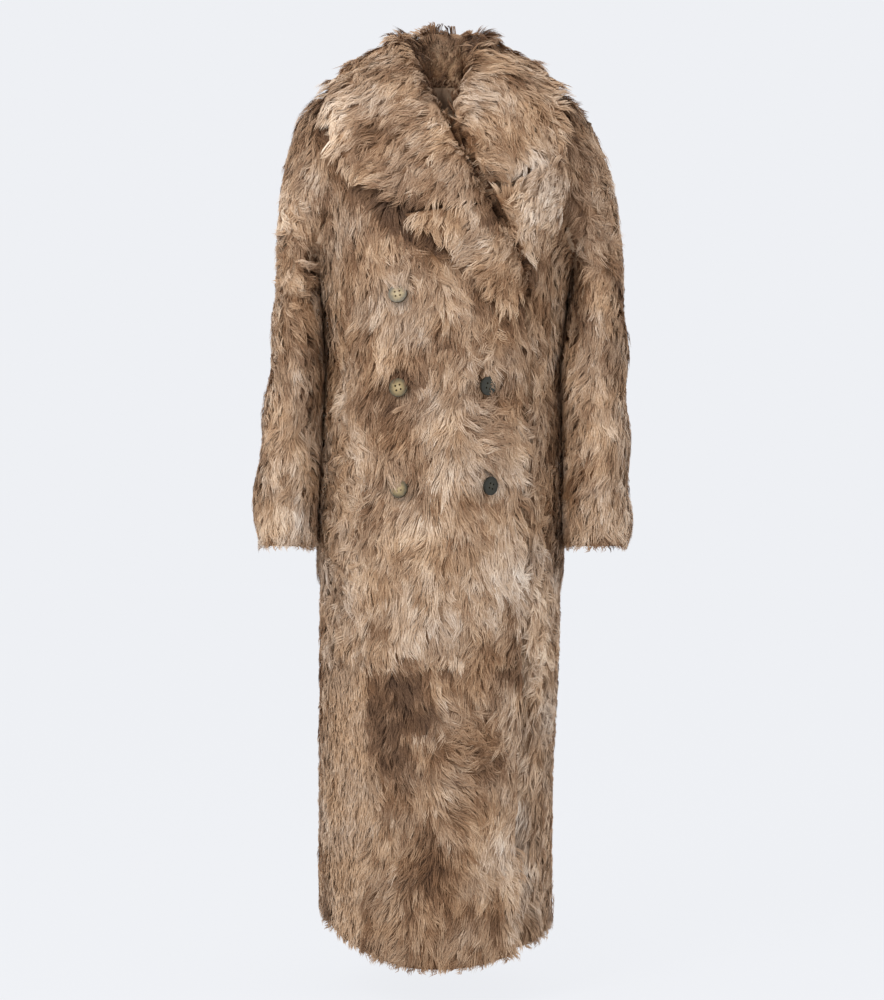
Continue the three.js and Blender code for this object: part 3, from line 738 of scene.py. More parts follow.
def grid_faces(rows, columns, start, closed):
    """Quads between neighbouring rows and columns of a grid whose points begin at start."""
    spans = columns if closed else columns - 1
    i, j = np.meshgrid(np.arange(rows - 1), np.arange(spans), indexing="ij")
    k = (j + 1) % columns
    quads = np.stack([i * columns + j, i * columns + k, (i + 1) * columns + k, (i + 1) * columns + j], -1)
    return start + quads.reshape(-1, 4)


def skin(name, outer, inner, tone, seam, closed=False):
    """Joins two grids and their borders into one closed wall, turned so that its volume is positive."""
    rows, columns = outer.shape[:2]
    count = rows * columns
    tone = tone.copy()
    # Painted shade: the border rows and columns, in the valleys where pieces meet, are darker.
    tone[[0, -1]] -= PAINTED_RIM_SHADE
    if not closed:
        tone[:, [0, -1]] -= PAINTED_RIM_SHADE
    points = np.concatenate([outer.reshape(-1, 3), inner.reshape(-1, 3)])
    out_faces = grid_faces(rows, columns, 0, closed)
    in_faces = grid_faces(rows, columns, count, closed)[:, ::-1]
    number = np.arange(count).reshape(rows, columns)
    borders = [number[0], number[-1][::-1]]
    if closed:
        borders = [np.append(line, line[0]) for line in borders]
    else:
        borders += [number[::-1, 0], number[:, -1]]
    rims = [np.stack([b[1:], b[:-1], b[:-1] + count, b[1:] + count], -1) for b in borders]
    faces = np.concatenate([out_faces, in_faces, *rims])
    a, b, c, d = (points[faces[:, k]] for k in range(4))
    volume = np.sum(a * np.cross(b, c)) + np.sum(a * np.cross(c, d))
    if volume < 0:
        faces = faces[:, ::-1]
    index = np.zeros(len(faces))
    index[len(out_faces) : len(out_faces) + len(in_faces)] = 1
    values = {
        "tone": np.concatenate([tone.ravel() - 0.03, tone.ravel()]),
        "along": np.concatenate([np.full(count, 0.30), seam.ravel()]),
    }
    starts = np.arange(len(faces)) * 4
    return add_mesh(name, points, faces.ravel(), starts, values, [GROUND_WOOL, SUEDE], index)


# %% [markdown]
# Locks of wool
#
# A real pile is many fine hairs that hold together in wavy locks, and each lock lies over the next.
# Hair curves would be right for a film, but this model has to travel as a plain mesh. So a lock is a
# handful of narrow ribbons that start side by side and lean together at the tip. The middle line of
# a ribbon is a function of the way along it: it climbs out of the ground, lies down along the flow
# of the wool and swings from side to side.

# %% Ribbons grown from points, normals and a flow
PER_LOCK = 12
ribbon_counts = {}


def locks(name, points, normals, flows, length, width, wave, curl, lift, tone, seed, segments=2, even=0.0):
    """Each ribbon runs along the flow by the length, climbs as a sine, and swings as a slow sine."""
    own = np.random.default_rng(seed)
    count = len(points)
    total = count * PER_LOCK

    def each(values):
        return np.repeat(np.broadcast_to(values, count) if np.ndim(values) < 2 else values, PER_LOCK, axis=0)

    across = unit(np.cross(normals, flows))
    turn = np.radians(own.normal(0, 8, count))[:, None]
    flow = flows * np.cos(turn) + across * np.sin(turn)
    across = unit(np.cross(normals, flow))
    lock_length = length * own.uniform(0.8, 1.15, count)
    lock_lift = lift + own.normal(0, 1.0, count)
    phase = own.uniform(0, 2 * np.pi, count)
    cycles = curl * own.uniform(0.8, 1.25, count)
    swing = wave * own.uniform(0.6, 1.4, count)
    lock_tone = tone + own.normal(0, LOCK_TONE, count) * (1.0 - 0.8 * even)

    spread = each(mix(*LOCK_SPREADS, seen(points)))
    radius = spread * np.sqrt(own.uniform(0, 1, total))
    round_turn = own.uniform(0, 2 * np.pi, total)
    side = (radius * np.cos(round_turn))[:, None]
    fore = (radius * np.sin(round_turn))[:, None]
    base = each(points) + each(across) * side + each(flow) * fore
    own_length = each(lock_length) * own.uniform(0.62, 1.12, total)
    own_lift = each(lock_lift) + own.normal(0, 0.6, total)
    own_phase = each(phase) + own.normal(0, 0.4, total)
    own_tone = np.maximum(each(lock_tone) + own.normal(0, HAIR_TONE, total), DARKEST)
    own_width = each(width) * own.uniform(0.7, 1.25, total)
    tilt = np.radians(own.normal(0, 20, total))

    s = np.linspace(0, 1, segments + 1)[None, :, None]
    n, f, t = each(normals)[:, None], each(flow)[:, None], each(across)[:, None]
    angle = 2 * np.pi * each(cycles)[:, None, None] * s + own_phase[:, None, None]
    grow = s**0.7
    swings = each(swing)[:, None, None] * grow
    sway = swings * (np.sin(angle) - np.sin(own_phase)[:, None, None] * (1 - s))
    bob = 0.35 * swings * np.cos(angle)
    climb = (GROUND + own_lift[:, None, None]) * np.sin(np.pi / 2 * np.clip(s * 1.6, 0, 1)) - 1.8 * s**2
    gather = -0.3 * s**0.8 * side[:, None]
    ahead = f * own_length[:, None, None] * s**1.1
    line = base[:, None] + ahead + n * (climb + bob - GROUND) + t * (sway + gather)

    way = unit(np.gradient(line, axis=1))
    flat = unit(np.cross(n, way))
    ridge = np.cross(way, flat)
    edge = flat * np.cos(tilt)[:, None, None] + ridge * np.sin(tilt)[:, None, None]
    facing = ridge * np.cos(tilt)[:, None, None] - flat * np.sin(tilt)[:, None, None]
    taper = (0.65 + 0.5 * s) * (1 - 0.5 * s**2)
    half = edge[:, :-1] * (own_width[:, None, None] / 2 * taper[:, :-1])
    left, right, tip = line[:, :-1] - half, line[:, :-1] + half, line[:, -1:]
    body = np.stack([left, right], 2).reshape(total, 2 * segments, 3)
    verts = np.concatenate([body, tip], 1)
    tuft = n * 0.85 + facing * 0.27 + t * (side / spread[:, None])[:, None] * 0.26
    round_left, round_right = unit(tuft - edge * 0.24)[:, :-1], unit(tuft + edge * 0.24)[:, :-1]
    shading = np.stack([round_left, round_right], 2).reshape(total, 2 * segments, 3)
    shading = np.concatenate([shading, unit(tuft)[:, -1:]], 1)

    per = 2 * segments + 1
    quads = [[2 * k + 1, 2 * k, 2 * k + 2, 2 * k + 3] for k in range(segments - 1)]
    pattern = np.array(sum(quads, []) + [per - 2, per - 3, per - 1])
    starts_one = np.arange(segments) * 4
    loops = (np.arange(total)[:, None] * per + pattern).ravel()
    starts = (np.arange(total)[:, None] * len(pattern) + starts_one).ravel()
    share = np.append(np.repeat(np.arange(segments) / segments, 2), 1.0)
    values = {"tone": np.repeat(own_tone, per), "along": np.tile(share, total)}
    piece = add_mesh(name, verts.reshape(-1, 3), loops, starts, values, [LOCK_WOOL])
    piece.data.normals_split_custom_set_from_vertices(shading.reshape(-1, 3))
    ribbon_counts[name] = total * (2 * segments - 1)
    return piece


def downhill(normals):
    """The way down along the surface: straight down less its part along the normal."""
    down = np.array([0.0, 0.0, -1.0])
    return unit(down - normals * (normals @ down)[..., None])


# %% [markdown]
# Dressing a panel
#
# A panel's skin lies on a grid of about 14.5 millimetres, and its locks grow from a jittered grid.
# They lie close together at the front and further apart at the back, and there are none where the
# collar or a lapel covers a panel. Some places have wool of their own: a smooth strip, open curls,
# and wool that stands up above a half buried button and between body and sleeve.

# %% Spacing, tone and flow of the locks
CELL = 14.5


def spans(surface, high=40, wide=40):
    """Lengths along v and along u of a surface's lines, measured on a coarse grid."""
    u, v = np.meshgrid(np.linspace(0, 1, wide), np.linspace(0, 1, high))
    points, _ = surface(u, v)
    tall = np.linalg.norm(np.diff(points, axis=0), axis=-1).sum(0)
    broad = np.linalg.norm(np.diff(points, axis=1), axis=-1).sum(1)
    return tall, broad


def sizes(surface):
    """The mean height and width of a surface."""
    tall, broad = spans(surface)
    return tall.mean(), broad.mean()


def longest(surface):
    """The greatest height and width of a surface."""
    tall, broad = spans(surface)
    return tall.max(), broad.max()


SPACING = 7.5
BACK_SHARE = 0.34
LOCK_TONE, HAIR_TONE = 0.035, 0.035
DARKEST = 0.24
LOCK_WIDTHS = (1.9, 1.25)
LOCK_SPREADS = (9.0, 5.0)


def seen(points):
    """1 towards the front and at the collar's top, 0 at the back, which has fewer and wider ribbons."""
    return np.maximum(smooth((35.0 - points[..., 1]) / 60.0), smooth((points[..., 2] - 5.0) / 20.0))


def scatter(surface, spacing, seed, covered=None):
    """Places on a jittered grid, thinned by chance where its cells are smaller than the spacing squared."""
    own = np.random.default_rng(seed)
    tall, broad = longest(surface)
    rows, columns = max(2, round(tall / spacing)), max(2, round(broad / spacing))
    u, v = np.meshgrid((np.arange(columns) + 0.5) / columns, (np.arange(rows) + 0.5) / rows)
    u = np.clip(u + own.uniform(-0.5, 0.5, u.shape) / columns, 0.004, 0.996).ravel()
    v = np.clip(v + own.uniform(-0.5, 0.5, v.shape) / rows, 0.004, 0.996).ravel()
    points, normals = surface(u, v)
    wide = (surface(u + 0.002, v)[0] - surface(u - 0.002, v)[0]) / (0.004 * columns)
    high = (surface(u, v + 0.002)[0] - surface(u, v - 0.002)[0]) / (0.004 * rows)
    area = np.linalg.norm(np.cross(wide, high), axis=-1)
    kept = own.uniform(0, 1, len(u)) < area / spacing**2 * mix(BACK_SHARE, 1.0, seen(points))
    if covered is not None:
        kept[kept] = ~covered(points[kept], normals[kept])
    return points[kept], normals[kept], u[kept], v[kept]


def seam_shade(u, v, broad, tall, closed=False):
    """1 on open suede and darker within a few millimetres of a panel's border."""
    across = np.minimum(u, 1 - u) * broad if not closed else np.full(u.shape, 99.0)
    up = np.minimum(v, 1 - v) * tall
    return 0.62 + 0.38 * smooth(np.minimum(across, up) / 5.0)


# x, z, half width, half height and the turn of the flow in degrees, positive towards the viewer's right
FLOW_TURNS = [
    (-70, -620, 60, 90, -30),
    (70, -640, 60, 90, 28),
    (-70, -450, 34, 80, -22),
    (50, -500, 40, 70, 48),
    (-60, -350, 60, 40, -18),
    (130, -560, 26, 140, -14),
    (-140, -560, 26, 120, 20),
    (40, -900, 60, 160, 14),
    (132, -170, 50, 60, -50),
    (-10, -150, 40, 30, -10),
    (-50, -1050, 60, 120, -16),
]
CALM_TONE = 0.60
PANEL_TONES = {
    "front_right_lower": -0.055,
    "side_right_lower": 0.03,
    "side_left_lower": 0.02,
    "front_left_lower": 0.02,
}


def panel_tone(node, points, u, v):
    """The tone by place, with painted shade beside the seams, under a collar's edge and just below the level
    seam, where the upper panel's wool hangs over.
    """
    tone = tone_at(points) + PANEL_TONES.get(node, 0.0) + edge_shade(points)
    # Painted shade in the valley beside each seam.
    beside = smooth(np.minimum(u, 1 - u) / 0.05)
    tone = tone - 0.07 * (1.0 - beside)
    if node.endswith("lower"):
        # Painted shade below the level seam, under the upper panel's overhanging wool.
        tone = tone - 0.10 * smooth((v - 0.90) / 0.08)
        tone = mix(tone, CALM_TONE, 0.75 * calmness(node, points))
    return tone


def turned(points, normals, flows, calm=0.0):
    """Turns the flow in the surface: slow noise everywhere, and each named turn as a soft ellipse."""
    turn = 20.0 * slow_noise(points, 130.0, 31) + 17.0 * slow_noise(points, 50.0, 32)
    turn = turn + (9.0 + 48.0 * curly(points)) * slow_noise(points, 24.0, 33)
    front = seen(points)
    for x, z, wide, high, degrees in FLOW_TURNS:
        far = ellipse(points, x, z, wide, high)
        turn = turn + front * degrees * (1.0 - smooth((far - 0.3) / 0.9))
    turn = np.radians(turn * (1.0 - 0.85 * calm))[..., None]
    across = unit(np.cross(flows, normals))
    return flows * np.cos(turn) - across * np.sin(turn)


def dress_panel(node, surface, seed):
    """One panel: its skin and its locks, which replace the solid."""
    tall, broad = sizes(surface)
    rows, columns = max(3, round(tall / CELL)), max(3, round(broad / CELL))
    edge_u, edge_v = SEAM / 2 / broad, SEAM / 2 / tall
    u, v = np.meshgrid(np.linspace(edge_u, 1 - edge_u, columns), np.linspace(edge_v, 1 - edge_v, rows))
    points, normals = surface(u, v)
    outer, inner = points - normals * GROUND, points - normals * WALL
    piece = skin(node + "_skin", outer, inner, panel_tone(node, points, u, v), seam_shade(u, v, broad, tall))
    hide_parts(node)
    at, out, over, up = scatter(surface, SPACING, seed, covered)
    calm = calmness(node, at)
    flow = turned(at, out, downhill(out), calm)
    past_end = 1.5 if node.endswith("lower") else 14.0 + 8.0 * slow_noise(at, 45.0, 8)
    length = np.clip(up * tall + past_end, 9.0, 28.0 - 8.0 * calm)
    width = mix(*LOCK_WIDTHS, seen(at)) * (1.0 + 0.5 * calm)
    wave = (2.4 + 0.8 * slow_noise(at, 120.0, 9) + 2.2 * curly(at)) * (1.0 - 0.8 * calm)
    lift = 0.6 + 6.0 * over_button(at) + 5.0 * beside_sleeve(at) - 2.4 * calm
    tone = panel_tone(node, at, over, up)
    fur = locks(node + "_fur", at, out, flow, length, width, wave, 0.8, lift, tone, seed, even=calm)


def beside_sleeve(points):
    """1 in the narrow gap between the body and a sleeve, where the two furs touch."""
    across = np.abs(points[..., 0])
    gap = smooth((across - 150.0) / 12.0) * (1.0 - smooth((across - 182.0) / 14.0))
    return gap * smooth((-212.0 - points[..., 2]) / 20.0) * smooth((points[..., 2] + 690.0) / 30.0)


def calmness(node, points):
    """1 on the smooth pale strip down the wearer's right side of the front, below the level seam."""
    inside = smooth((points[..., 0] + 158.0) / 12.0) * seen(points)
    return inside if node == "side_right_lower" else np.zeros(points.shape[:-1])


def over_button(points):
    """Up to 1 just above each button that is half buried, where the wool hangs over its rim."""
    share = np.zeros(points.shape[:-1])
    for x, z, _, _, raised_by in BUTTONS.values():
        far = np.hypot((points[..., 0] - x) / 15.0, (points[..., 2] - z - 15.0) / 11.0)
        share = np.maximum(share, (1.0 - raised_by) / 1.4 * (1.0 - smooth((far - 0.6) / 0.7)))
    return share * seen(points)


# x, z, half width and half height of the places with open curls
CURLS = [
    (-140, -590, 34, 220),
    (128, -560, 30, 240),
    (140, -830, 24, 140),
    (-210, -240, 50, 110),
    (215, -190, 40, 90),
    (-40, -250, 60, 40),
    (60, -420, 40, 120),
    (40, -900, 60, 60),
]


def curly(points):
    """1 where the wool lies in open curls and 0 elsewhere."""
    share = np.zeros(points.shape[:-1])
    for x, z, wide, high in CURLS:
        far = ellipse(points, x, z, wide, high)
        share = np.maximum(share, 1.0 - smooth((far - 0.5) / 0.7))
    return share * seen(points)


# %% A smooth surface through a grid of points
def refined(grid, times):
    """Catmull-Rom curves through the grid's rows and then its columns, with that many steps a span."""
    for axis in (0, 1):
        grid = np.moveaxis(grid, axis, 0)
        spans = len(grid) - 1
        at = np.linspace(0, spans, spans * times[axis] + 1)
        i = np.minimum(at.astype(int), spans - 1)
        t = (at - i).reshape(-1, *[1] * (grid.ndim - 1))
        padded = np.concatenate([2 * grid[:1] - grid[1:2], grid, 2 * grid[-1:] - grid[-2:-1]])
        a, b, c, d = (padded[i + k] for k in range(4))
        curve = 2 * b + (c - a) * t + (2 * a - 5 * b + 4 * c - d) * t**2 + (3 * b - a - 3 * c + d) * t**3
        grid = np.moveaxis(curve / 2, 0, axis)
    return grid


def sample(grid, u, v):
    """Reads a grid between its points: the four corners round (u, v) in their shares."""
    rows, columns = grid.shape[:2]
    x, y = np.clip(u, 0, 1) * (columns - 1), np.clip(v, 0, 1) * (rows - 1)
    i, j = np.minimum(y.astype(int), rows - 2), np.minimum(x.astype(int), columns - 2)
    s, t = (x - j)[..., None], (y - i)[..., None]
    return mix(mix(grid[i, j], grid[i, j + 1], s), mix(grid[i + 1, j], grid[i + 1, j + 1], s), t)


# %% [markdown]
# Sleeves
#
# A sleeve is a tube whose rings are squared ellipses too. Its cap leaves the armhole along the
# body's own surface and bends over into the first level ring, on a cubic with four control points.
# That keeps the shoulder round, as the wool does on the real coat.

# %% Sleeves as one function of the way round and the way down
# height, outer x, inner x, front y, back y
SLEEVES = {
    "right": [
        (-290, -232, -171, -72, 74),
        (-345, -235, -169, -80, 68),
        (-400, -240, -167, -86, 60),
        (-470, -246, -170, -94, 46),
        (-540, -255, -173, -100, 34),
        (-600, -258, -175, -102, 26),
        (-644, -255, -176, -100, 24),
    ],
    "left": [
        (-290, 254, 180, -72, 74),
        (-345, 256, 173, -80, 68),
        (-400, 257, 168, -86, 60),
        (-470, 257, 170, -94, 46),
        (-540, 259, 172, -100, 34),
        (-600, 260, 171, -102, 26),
        (-644, 256, 172, -100, 24),
    ],
}
CAP_END, CUFF = -290.0, -644.0
CAP_PART = 0.42


def sleeve_ring(side, z, step):
    """A squared ellipse between the outer and inner x and the front and back y, with soft creases."""
    rows = SLEEVES[side]
    outer, inner, front, back = (along(rows, k, z) for k in (1, 2, 3, 4))
    turn = 2 * np.pi * step / ARMHOLE_STEPS
    crease = np.maximum(0.0, np.cos(turn)) * 2.5 * np.sin(z * 0.052 + (0.0 if side == "right" else 2.0))
    half = (outer - inner) / 2
    x = (outer + inner) / 2 + (half + np.sign(half) * crease) * squared(np.cos(turn))
    y = (front + back) / 2 - (back - front) / 2 * squared(np.sin(turn))
    return np.stack([x, y, z], -1)


def cap_point(side, step, t):
    """A cubic from the armhole's edge, leaving along the body's surface, to the first level ring."""

    def edge_at(k):
        return body_point(armhole_angle(k, side), armhole_height(k))

    start = edge_at(step)
    normal = body_normal(armhole_angle(step, side), armhole_height(step))
    edge = unit(edge_at(step + 0.2) - edge_at(step - 0.2))
    out = np.cross(normal, edge) * (-1.0 if side == "right" else 1.0)
    end = sleeve_ring(side, np.full(step.shape, CAP_END), step)
    drop = np.linalg.norm(start - end, axis=-1, keepdims=True)
    top = np.maximum(0.0, np.cos(2 * np.pi * step / ARMHOLE_STEPS))[..., None]
    start = start + out * SEAM
    one = start + out * (mix(8.0, 42.0, top) + drop * 0.05)
    two = end + np.array([0.0, 0.0, 1.0]) * mix(0.42, 0.55, top) * drop
    t = t[..., None]
    a, b, c = mix(start, one, t), mix(one, two, t), mix(two, end, t)
    return mix(mix(a, b, t), mix(b, c, t), t)


def sleeve_point(side):
    """The cap for the first part of v, and level rings down to the cuff for the rest."""

    def point(u, v):
        step = np.mod(u, 1.0) * ARMHOLE_STEPS
        cap = cap_point(side, step, np.clip(v / CAP_PART, 0, 1))
        z = mix(CAP_END, CUFF, np.clip((v - CAP_PART) / (1 - CAP_PART), 0, 1))
        return np.where((v < CAP_PART)[..., None], cap, sleeve_ring(side, z, step))

    return point


SLEEVE_ROWS, SLEEVE_TURN = 60, 2


def sleeve_grids(side):
    """Lines down the sleeve at the armhole's steps, a smooth curve round through them, and normals."""
    spare = 2
    steps = np.arange(-spare, ARMHOLE_STEPS + spare + 1)
    u, v = np.meshgrid(steps / ARMHOLE_STEPS, np.linspace(0, 1, SLEEVE_ROWS))
    grid = refined(sleeve_point(side)(u, v), (1, SLEEVE_TURN))
    normals = unit(np.cross(np.gradient(grid, axis=1), np.gradient(grid, axis=0)))
    fine_steps = np.linspace(steps[0], steps[-1], grid.shape[1])
    armhole = body_normal(armhole_angle(fine_steps, side), armhole_height(fine_steps))
    outward = unit(grid - grid.mean(axis=1, keepdims=True))
    down = np.clip(np.linspace(0, 1, SLEEVE_ROWS) / CAP_PART, 0, 1)[:, None, None]
    outward = mix(armhole[None], outward, down)
    normals = normals * np.sign(np.sum(normals * outward, -1, keepdims=True))
    normals = unit(mix(armhole[None], normals, smooth(down / 0.25)))
    kept = slice(spare * SLEEVE_TURN, (spare + ARMHOLE_STEPS) * SLEEVE_TURN + 1)
    return grid[:, kept], normals[:, kept]


def dress_sleeve(side, seed):
    """A sleeve's skin, closed all round, and its locks."""
    node = f"sleeve_{side}"
    grid, grid_normals = sleeve_grids(side)

    def surface(u, v):
        return sample(grid, np.mod(u, 1.0), v), unit(sample(grid_normals, np.mod(u, 1.0), v))

    tall, broad = sizes(surface)
    points, normals = grid[:, :-1], grid_normals[:, :-1]
    rows, columns = points.shape[:2]
    u, v = np.meshgrid(np.arange(columns) / columns, np.linspace(0.0, 1.0, rows))
    depth = mix(GROUND + 1.5, WALL, smooth(v * tall / 70.0))
    outer, inner = points - normals * GROUND, points - normals * depth[..., None]
    shade = seam_shade(u, v, broad, tall, closed=True)
    piece = skin(node + "_skin", outer, inner, tone_at(points) + edge_shade(points), shade, closed=True)
    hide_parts(node)
    at, out, _, down = scatter(surface, SPACING, seed, covered)
    length = np.clip((1 - down) * tall + 2.5, 9.0, 27.0)
    wave = 2.4 + 2.4 * curly(at)
    width = mix(*LOCK_WIDTHS, seen(at))
    flow = turned(at, out, downhill(out))
    lift = 0.6 + 5.0 * beside_sleeve(at)
    tone = tone_at(at) + edge_shade(at)
    fur = locks(node + "_fur", at, out, flow, length, width, wave, 0.9, lift, tone, seed)


# %% [markdown]
# Collar and lapels
#
# The collar is sewn to the neck's edge and to the roll lines. At each of a row of stations the wall
# stands up, folds over and falls to its own outer edge. Where it lies on the coat, the fall follows
# the coat's surface at a small height, and where it hangs free behind the shoulders it is pushed
# out until it clears the body. All stations are worked out at once, and a smooth curve through the
# stations fills the surface between them.

# %% A point laid on the coat, and a point raised off the body
FOLD = 15.0
FOLD_TURNS = [-90, -45, 0, 45, 90]
FALL_SHARES = [0.14, 0.32, 0.52, 0.74, 1.0]
CLEAR, HANGING_CLEAR, SEWN = 2.2, 4.0, 1.1
LAY_SIDE = 148.0
THIN_EDGE = 0.6


def on_coat(x, z, height):
    """A point at a height over the body's surface, going straight on beyond the body's side."""
    sign = np.sign(x)
    inside = sign * np.minimum(np.abs(x), LAY_SIDE)

    def lie(at):
        angle = angle_at(at, z)
        return body_point(angle, z) + body_normal(angle, z) * np.asarray(height)[..., None]

    slope = unit(lie(inside) - lie(inside - sign * 12.0))
    return lie(inside) + slope * np.maximum(np.abs(x) - LAY_SIDE, 0.0)[..., None]


def ring_share(points):
    """How far out a point is: 1 on the body's surface, from the squared ellipse's own formula."""
    angle = np.degrees(np.arctan2(points[..., 1], points[..., 0]))
    z = np.minimum(points[..., 2] + nape_dip(angle, points[..., 2]), NECK_EDGE)
    across = np.abs(points[..., 0] - along(BODY, SHIFT, z)) / along(BODY, HALF, z)
    depth = np.where(points[..., 1] < 0, along(BODY, FRONT, z), along(BODY, BACK, z))
    return (across**SQUARENESS + (np.abs(points[..., 1]) / depth) ** SQUARENESS) ** (1 / SQUARENESS)


def raised(points, height):
    """Steps along the share's gradient until each point is at least at the height."""
    points = points.copy()
    for _ in range(8):
        rise = [ring_share(points + half) - ring_share(points - half) for half in np.eye(3) * 0.5]
        rise = np.stack(rise, -1)
        steep = np.linalg.norm(rise, axis=-1)
        away = (ring_share(points) - 1.0) / steep
        out = rise / steep[..., None]
        points += out * np.maximum(height - away, 0.0)[..., None]
    return points, out


# %% Stations of the collar and the lapels
ARMHOLE_AT = {step: float(armhole_height(step)) for step in range(2, 9)}
# edge height or turn, stand, x, y, z, belly and lean of the fall. y is None where it lies on the coat.
RIGHT_FRONT = [
    (ARMHOLE_AT[8] + 0.3, 0, -58, None, -176, 0, 0),
    (ARMHOLE_AT[7], 0, -84, None, -160, 0, 0),
    (ARMHOLE_AT[6], 0, -110, None, -143, 0, 0),
    (ARMHOLE_AT[5], 0, -132, None, -120, 0, 0),
    (ARMHOLE_AT[4], 0, -147, None, -92, 0, 0),
    (ARMHOLE_AT[3], 2, -154, None, -62, 0, 0),
    (ARMHOLE_AT[2], 5, -154, -56, -38, 10, 0),
    (-8, 9, -153, -34, -16, 10, 0.1),
    (8, 14, -152, -10, -6, 9, 0.15),
    (16, 16, -151, -2, -6, 10, 0.18),
]
NECK = [
    (190, 23, -150, 6, -6, 11, 0.2),
    (180, 29, -148, 16, -6, 12, 0.2),
    (162, 42, -138, 44, -16, 14, 0.2),
    (144, 53, -116, 72, -30, 13, 0.2),
    (126, 60, -82, 90, -42, 9, 0.17),
    (108, 65, -42, 100, -49, 6, 0.12),
    (90, 66, 0, 103, -52, 6, 0.12),
    (72, 65, 42, 100, -49, 6, 0.12),
    (54, 60, 82, 90, -42, 9, 0.17),
    (36, 53, 116, 72, -30, 13, 0.2),
    (18, 42, 138, 44, -16, 14, 0.2),
    (0, 29, 149, 16, -6, 12, 0.2),
    (-10, 23, 151, 6, -6, 11, 0.2),
]
LEFT_FRONT = [
    (16, 16, 152, -2, -6, 10, 0.18),
    (8, 14, 153, -10, -6, 9, 0.15),
    (-8, 9, 156, -34, -18, 10, 0.1),
    (ARMHOLE_AT[2], 5, 158, -56, -44, 10, 0),
    (ARMHOLE_AT[3], 2, 161, None, -70, 0, 0),
]
# The left leaf's flat end: from x and z to x and z
LEFT_END = [(18, -70, 158, -88), (30, -92, 149, -106), (44, -122, 121, -130), (61, -158, 80, -152)]
# edge height, thickness, x and z of the outer edge
RIGHT_LAPEL = [
    (PRINCESS_TOP - 0.3, 14, -50, -199),
    (-212, 14, -18, -222),
    (-233, 14, 10, -238),
    (-254, 13, 38, -266),
    (-275, 11, 64, -298),
    (-292, 8, 86, -326),
]
LEFT_LAPEL = [
    (71, -172, 110, -252),
    (94, -160, 133, -238),
    (122, -141, 152, -216),
    (148, -119, 163, -182),
    (163, -98, 170, -140),
]


def edge_frame(angle, z, before, after, way_on):
    """An edge's point, the surface's normal there and the way on past the edge, square to both."""
    normal = body_normal(angle, z)
    on = unit(np.cross(normal, after - before))
    turned = np.sum(on * way_on, -1, keepdims=True) < 0
    return body_point(angle, z), normal, np.where(turned, -on, on)


def front_frame(table, z, sign):
    """The frame on a front's edge at heights z."""

    def at(height):
        return body_point(angle_at(along(table, 1, height), height), height)

    way_on = np.array([sign, 0.0, 0.3])
    return edge_frame(angle_at(along(table, 1, z), z), z, at(z - 2), at(z + 2), way_on)


def neck_frame(angle):
    """The frame on the neck's edge at angles, just above the seam."""
    up = np.array([0.0, 0.0, 1.0])
    before, after = body_point(angle - 2, NECK_EDGE), body_point(angle + 2, NECK_EDGE)
    start, normal, on = edge_frame(angle, NECK_EDGE + 0.0 * angle, before, after, up)
    return start + up * SEAM, normal, on


def sections(frame_at_edge, stand, thick, x, y, z, belly, lean):
    """Fur and suede points of all stations: the foot, a half circle over the fold, and the fall."""
    start, normal, on = frame_at_edge
    stand, thick, belly, lean = (np.asarray(v, float)[:, None] for v in (stand, thick, belly, lean))
    lies = np.array([value is None for value in y])[:, None]
    y = np.array([0.0 if value is None else value for value in y])
    radius = FOLD * thick / WALL
    upright, outward = unit(on + normal * lean), unit(normal - on * lean)
    foot = start + on * 2 * SEAM
    centre = foot + outward * (radius - thick) + upright * stand
    fur, suede = [foot - normal * thick], [foot]
    for turn in np.radians(FOLD_TURNS):
        spoke = outward * np.sin(turn) + upright * np.cos(turn)
        fur.append(centre + spoke * radius)
        suede.append(centre + spoke * (radius - thick))
    last, under_last = fur[-1], suede[-1]
    edge = np.stack([np.asarray(x, float), y, np.asarray(z, float)], -1)
    for t in FALL_SHARES:
        depth = mix(thick, thick * THIN_EDGE, t**3)[:, 0]
        at = mix(last, edge, t)
        lift = mix(np.maximum(CLEAR, (radius - thick)[:, 0]), CLEAR, t)
        bulge = outward * belly * 4 * t * (1 - t)
        hung, out = raised(mix(under_last, edge, t) + bulge, HANGING_CLEAR)
        out = unit(mix(outward, out, float(smooth(t * 1.5))))
        fur.append(np.where(lies, on_coat(at[:, 0], at[:, 2], lift + depth), hung + out * depth[:, None]))
        suede.append(np.where(lies, on_coat(at[:, 0], at[:, 2], lift), hung))
    return np.stack(fur, 1), np.stack(suede, 1)


def flat_end(rows):
    """The left leaf's end: a rounded rim that rises off the coat, then the same fall, laid flat."""
    x, z, to_x, to_z = (np.array([row[k] for row in rows], float) for k in range(4))
    fur, suede = [], []
    rim = len(FOLD_TURNS)
    for k in range(rim + 1):
        px, pz = mix(x, to_x, 0.012 * k), mix(z, to_z, 0.012 * k)
        height = mix(CLEAR + 2.0, CLEAR + WALL, math.sin(k / rim * math.pi / 2))
        fur.append(on_coat(px, pz, np.full(x.shape, height)))
        suede.append(on_coat(px, pz, np.full(x.shape, CLEAR)))
    for t in FALL_SHARES:
        px, pz = mix(mix(x, to_x, 0.06), to_x, t), mix(mix(z, to_z, 0.06), to_z, t)
        depth = mix(WALL, WALL * THIN_EDGE, t**3)
        fur.append(on_coat(px, pz, np.full(x.shape, CLEAR + depth)))
        suede.append(on_coat(px, pz, np.full(x.shape, CLEAR)))
    return np.stack(fur, 1), np.stack(suede, 1)


def stations(table, frame_at_edge):
    """Sections of a table of edge, stand, x, y, z, belly and lean, all of the same thickness."""
    stand, x, y, z, belly, lean = ([row[k] for row in table] for k in range(1, 7))
    return sections(frame_at_edge, stand, [WALL] * len(table), x, y, z, belly, lean)


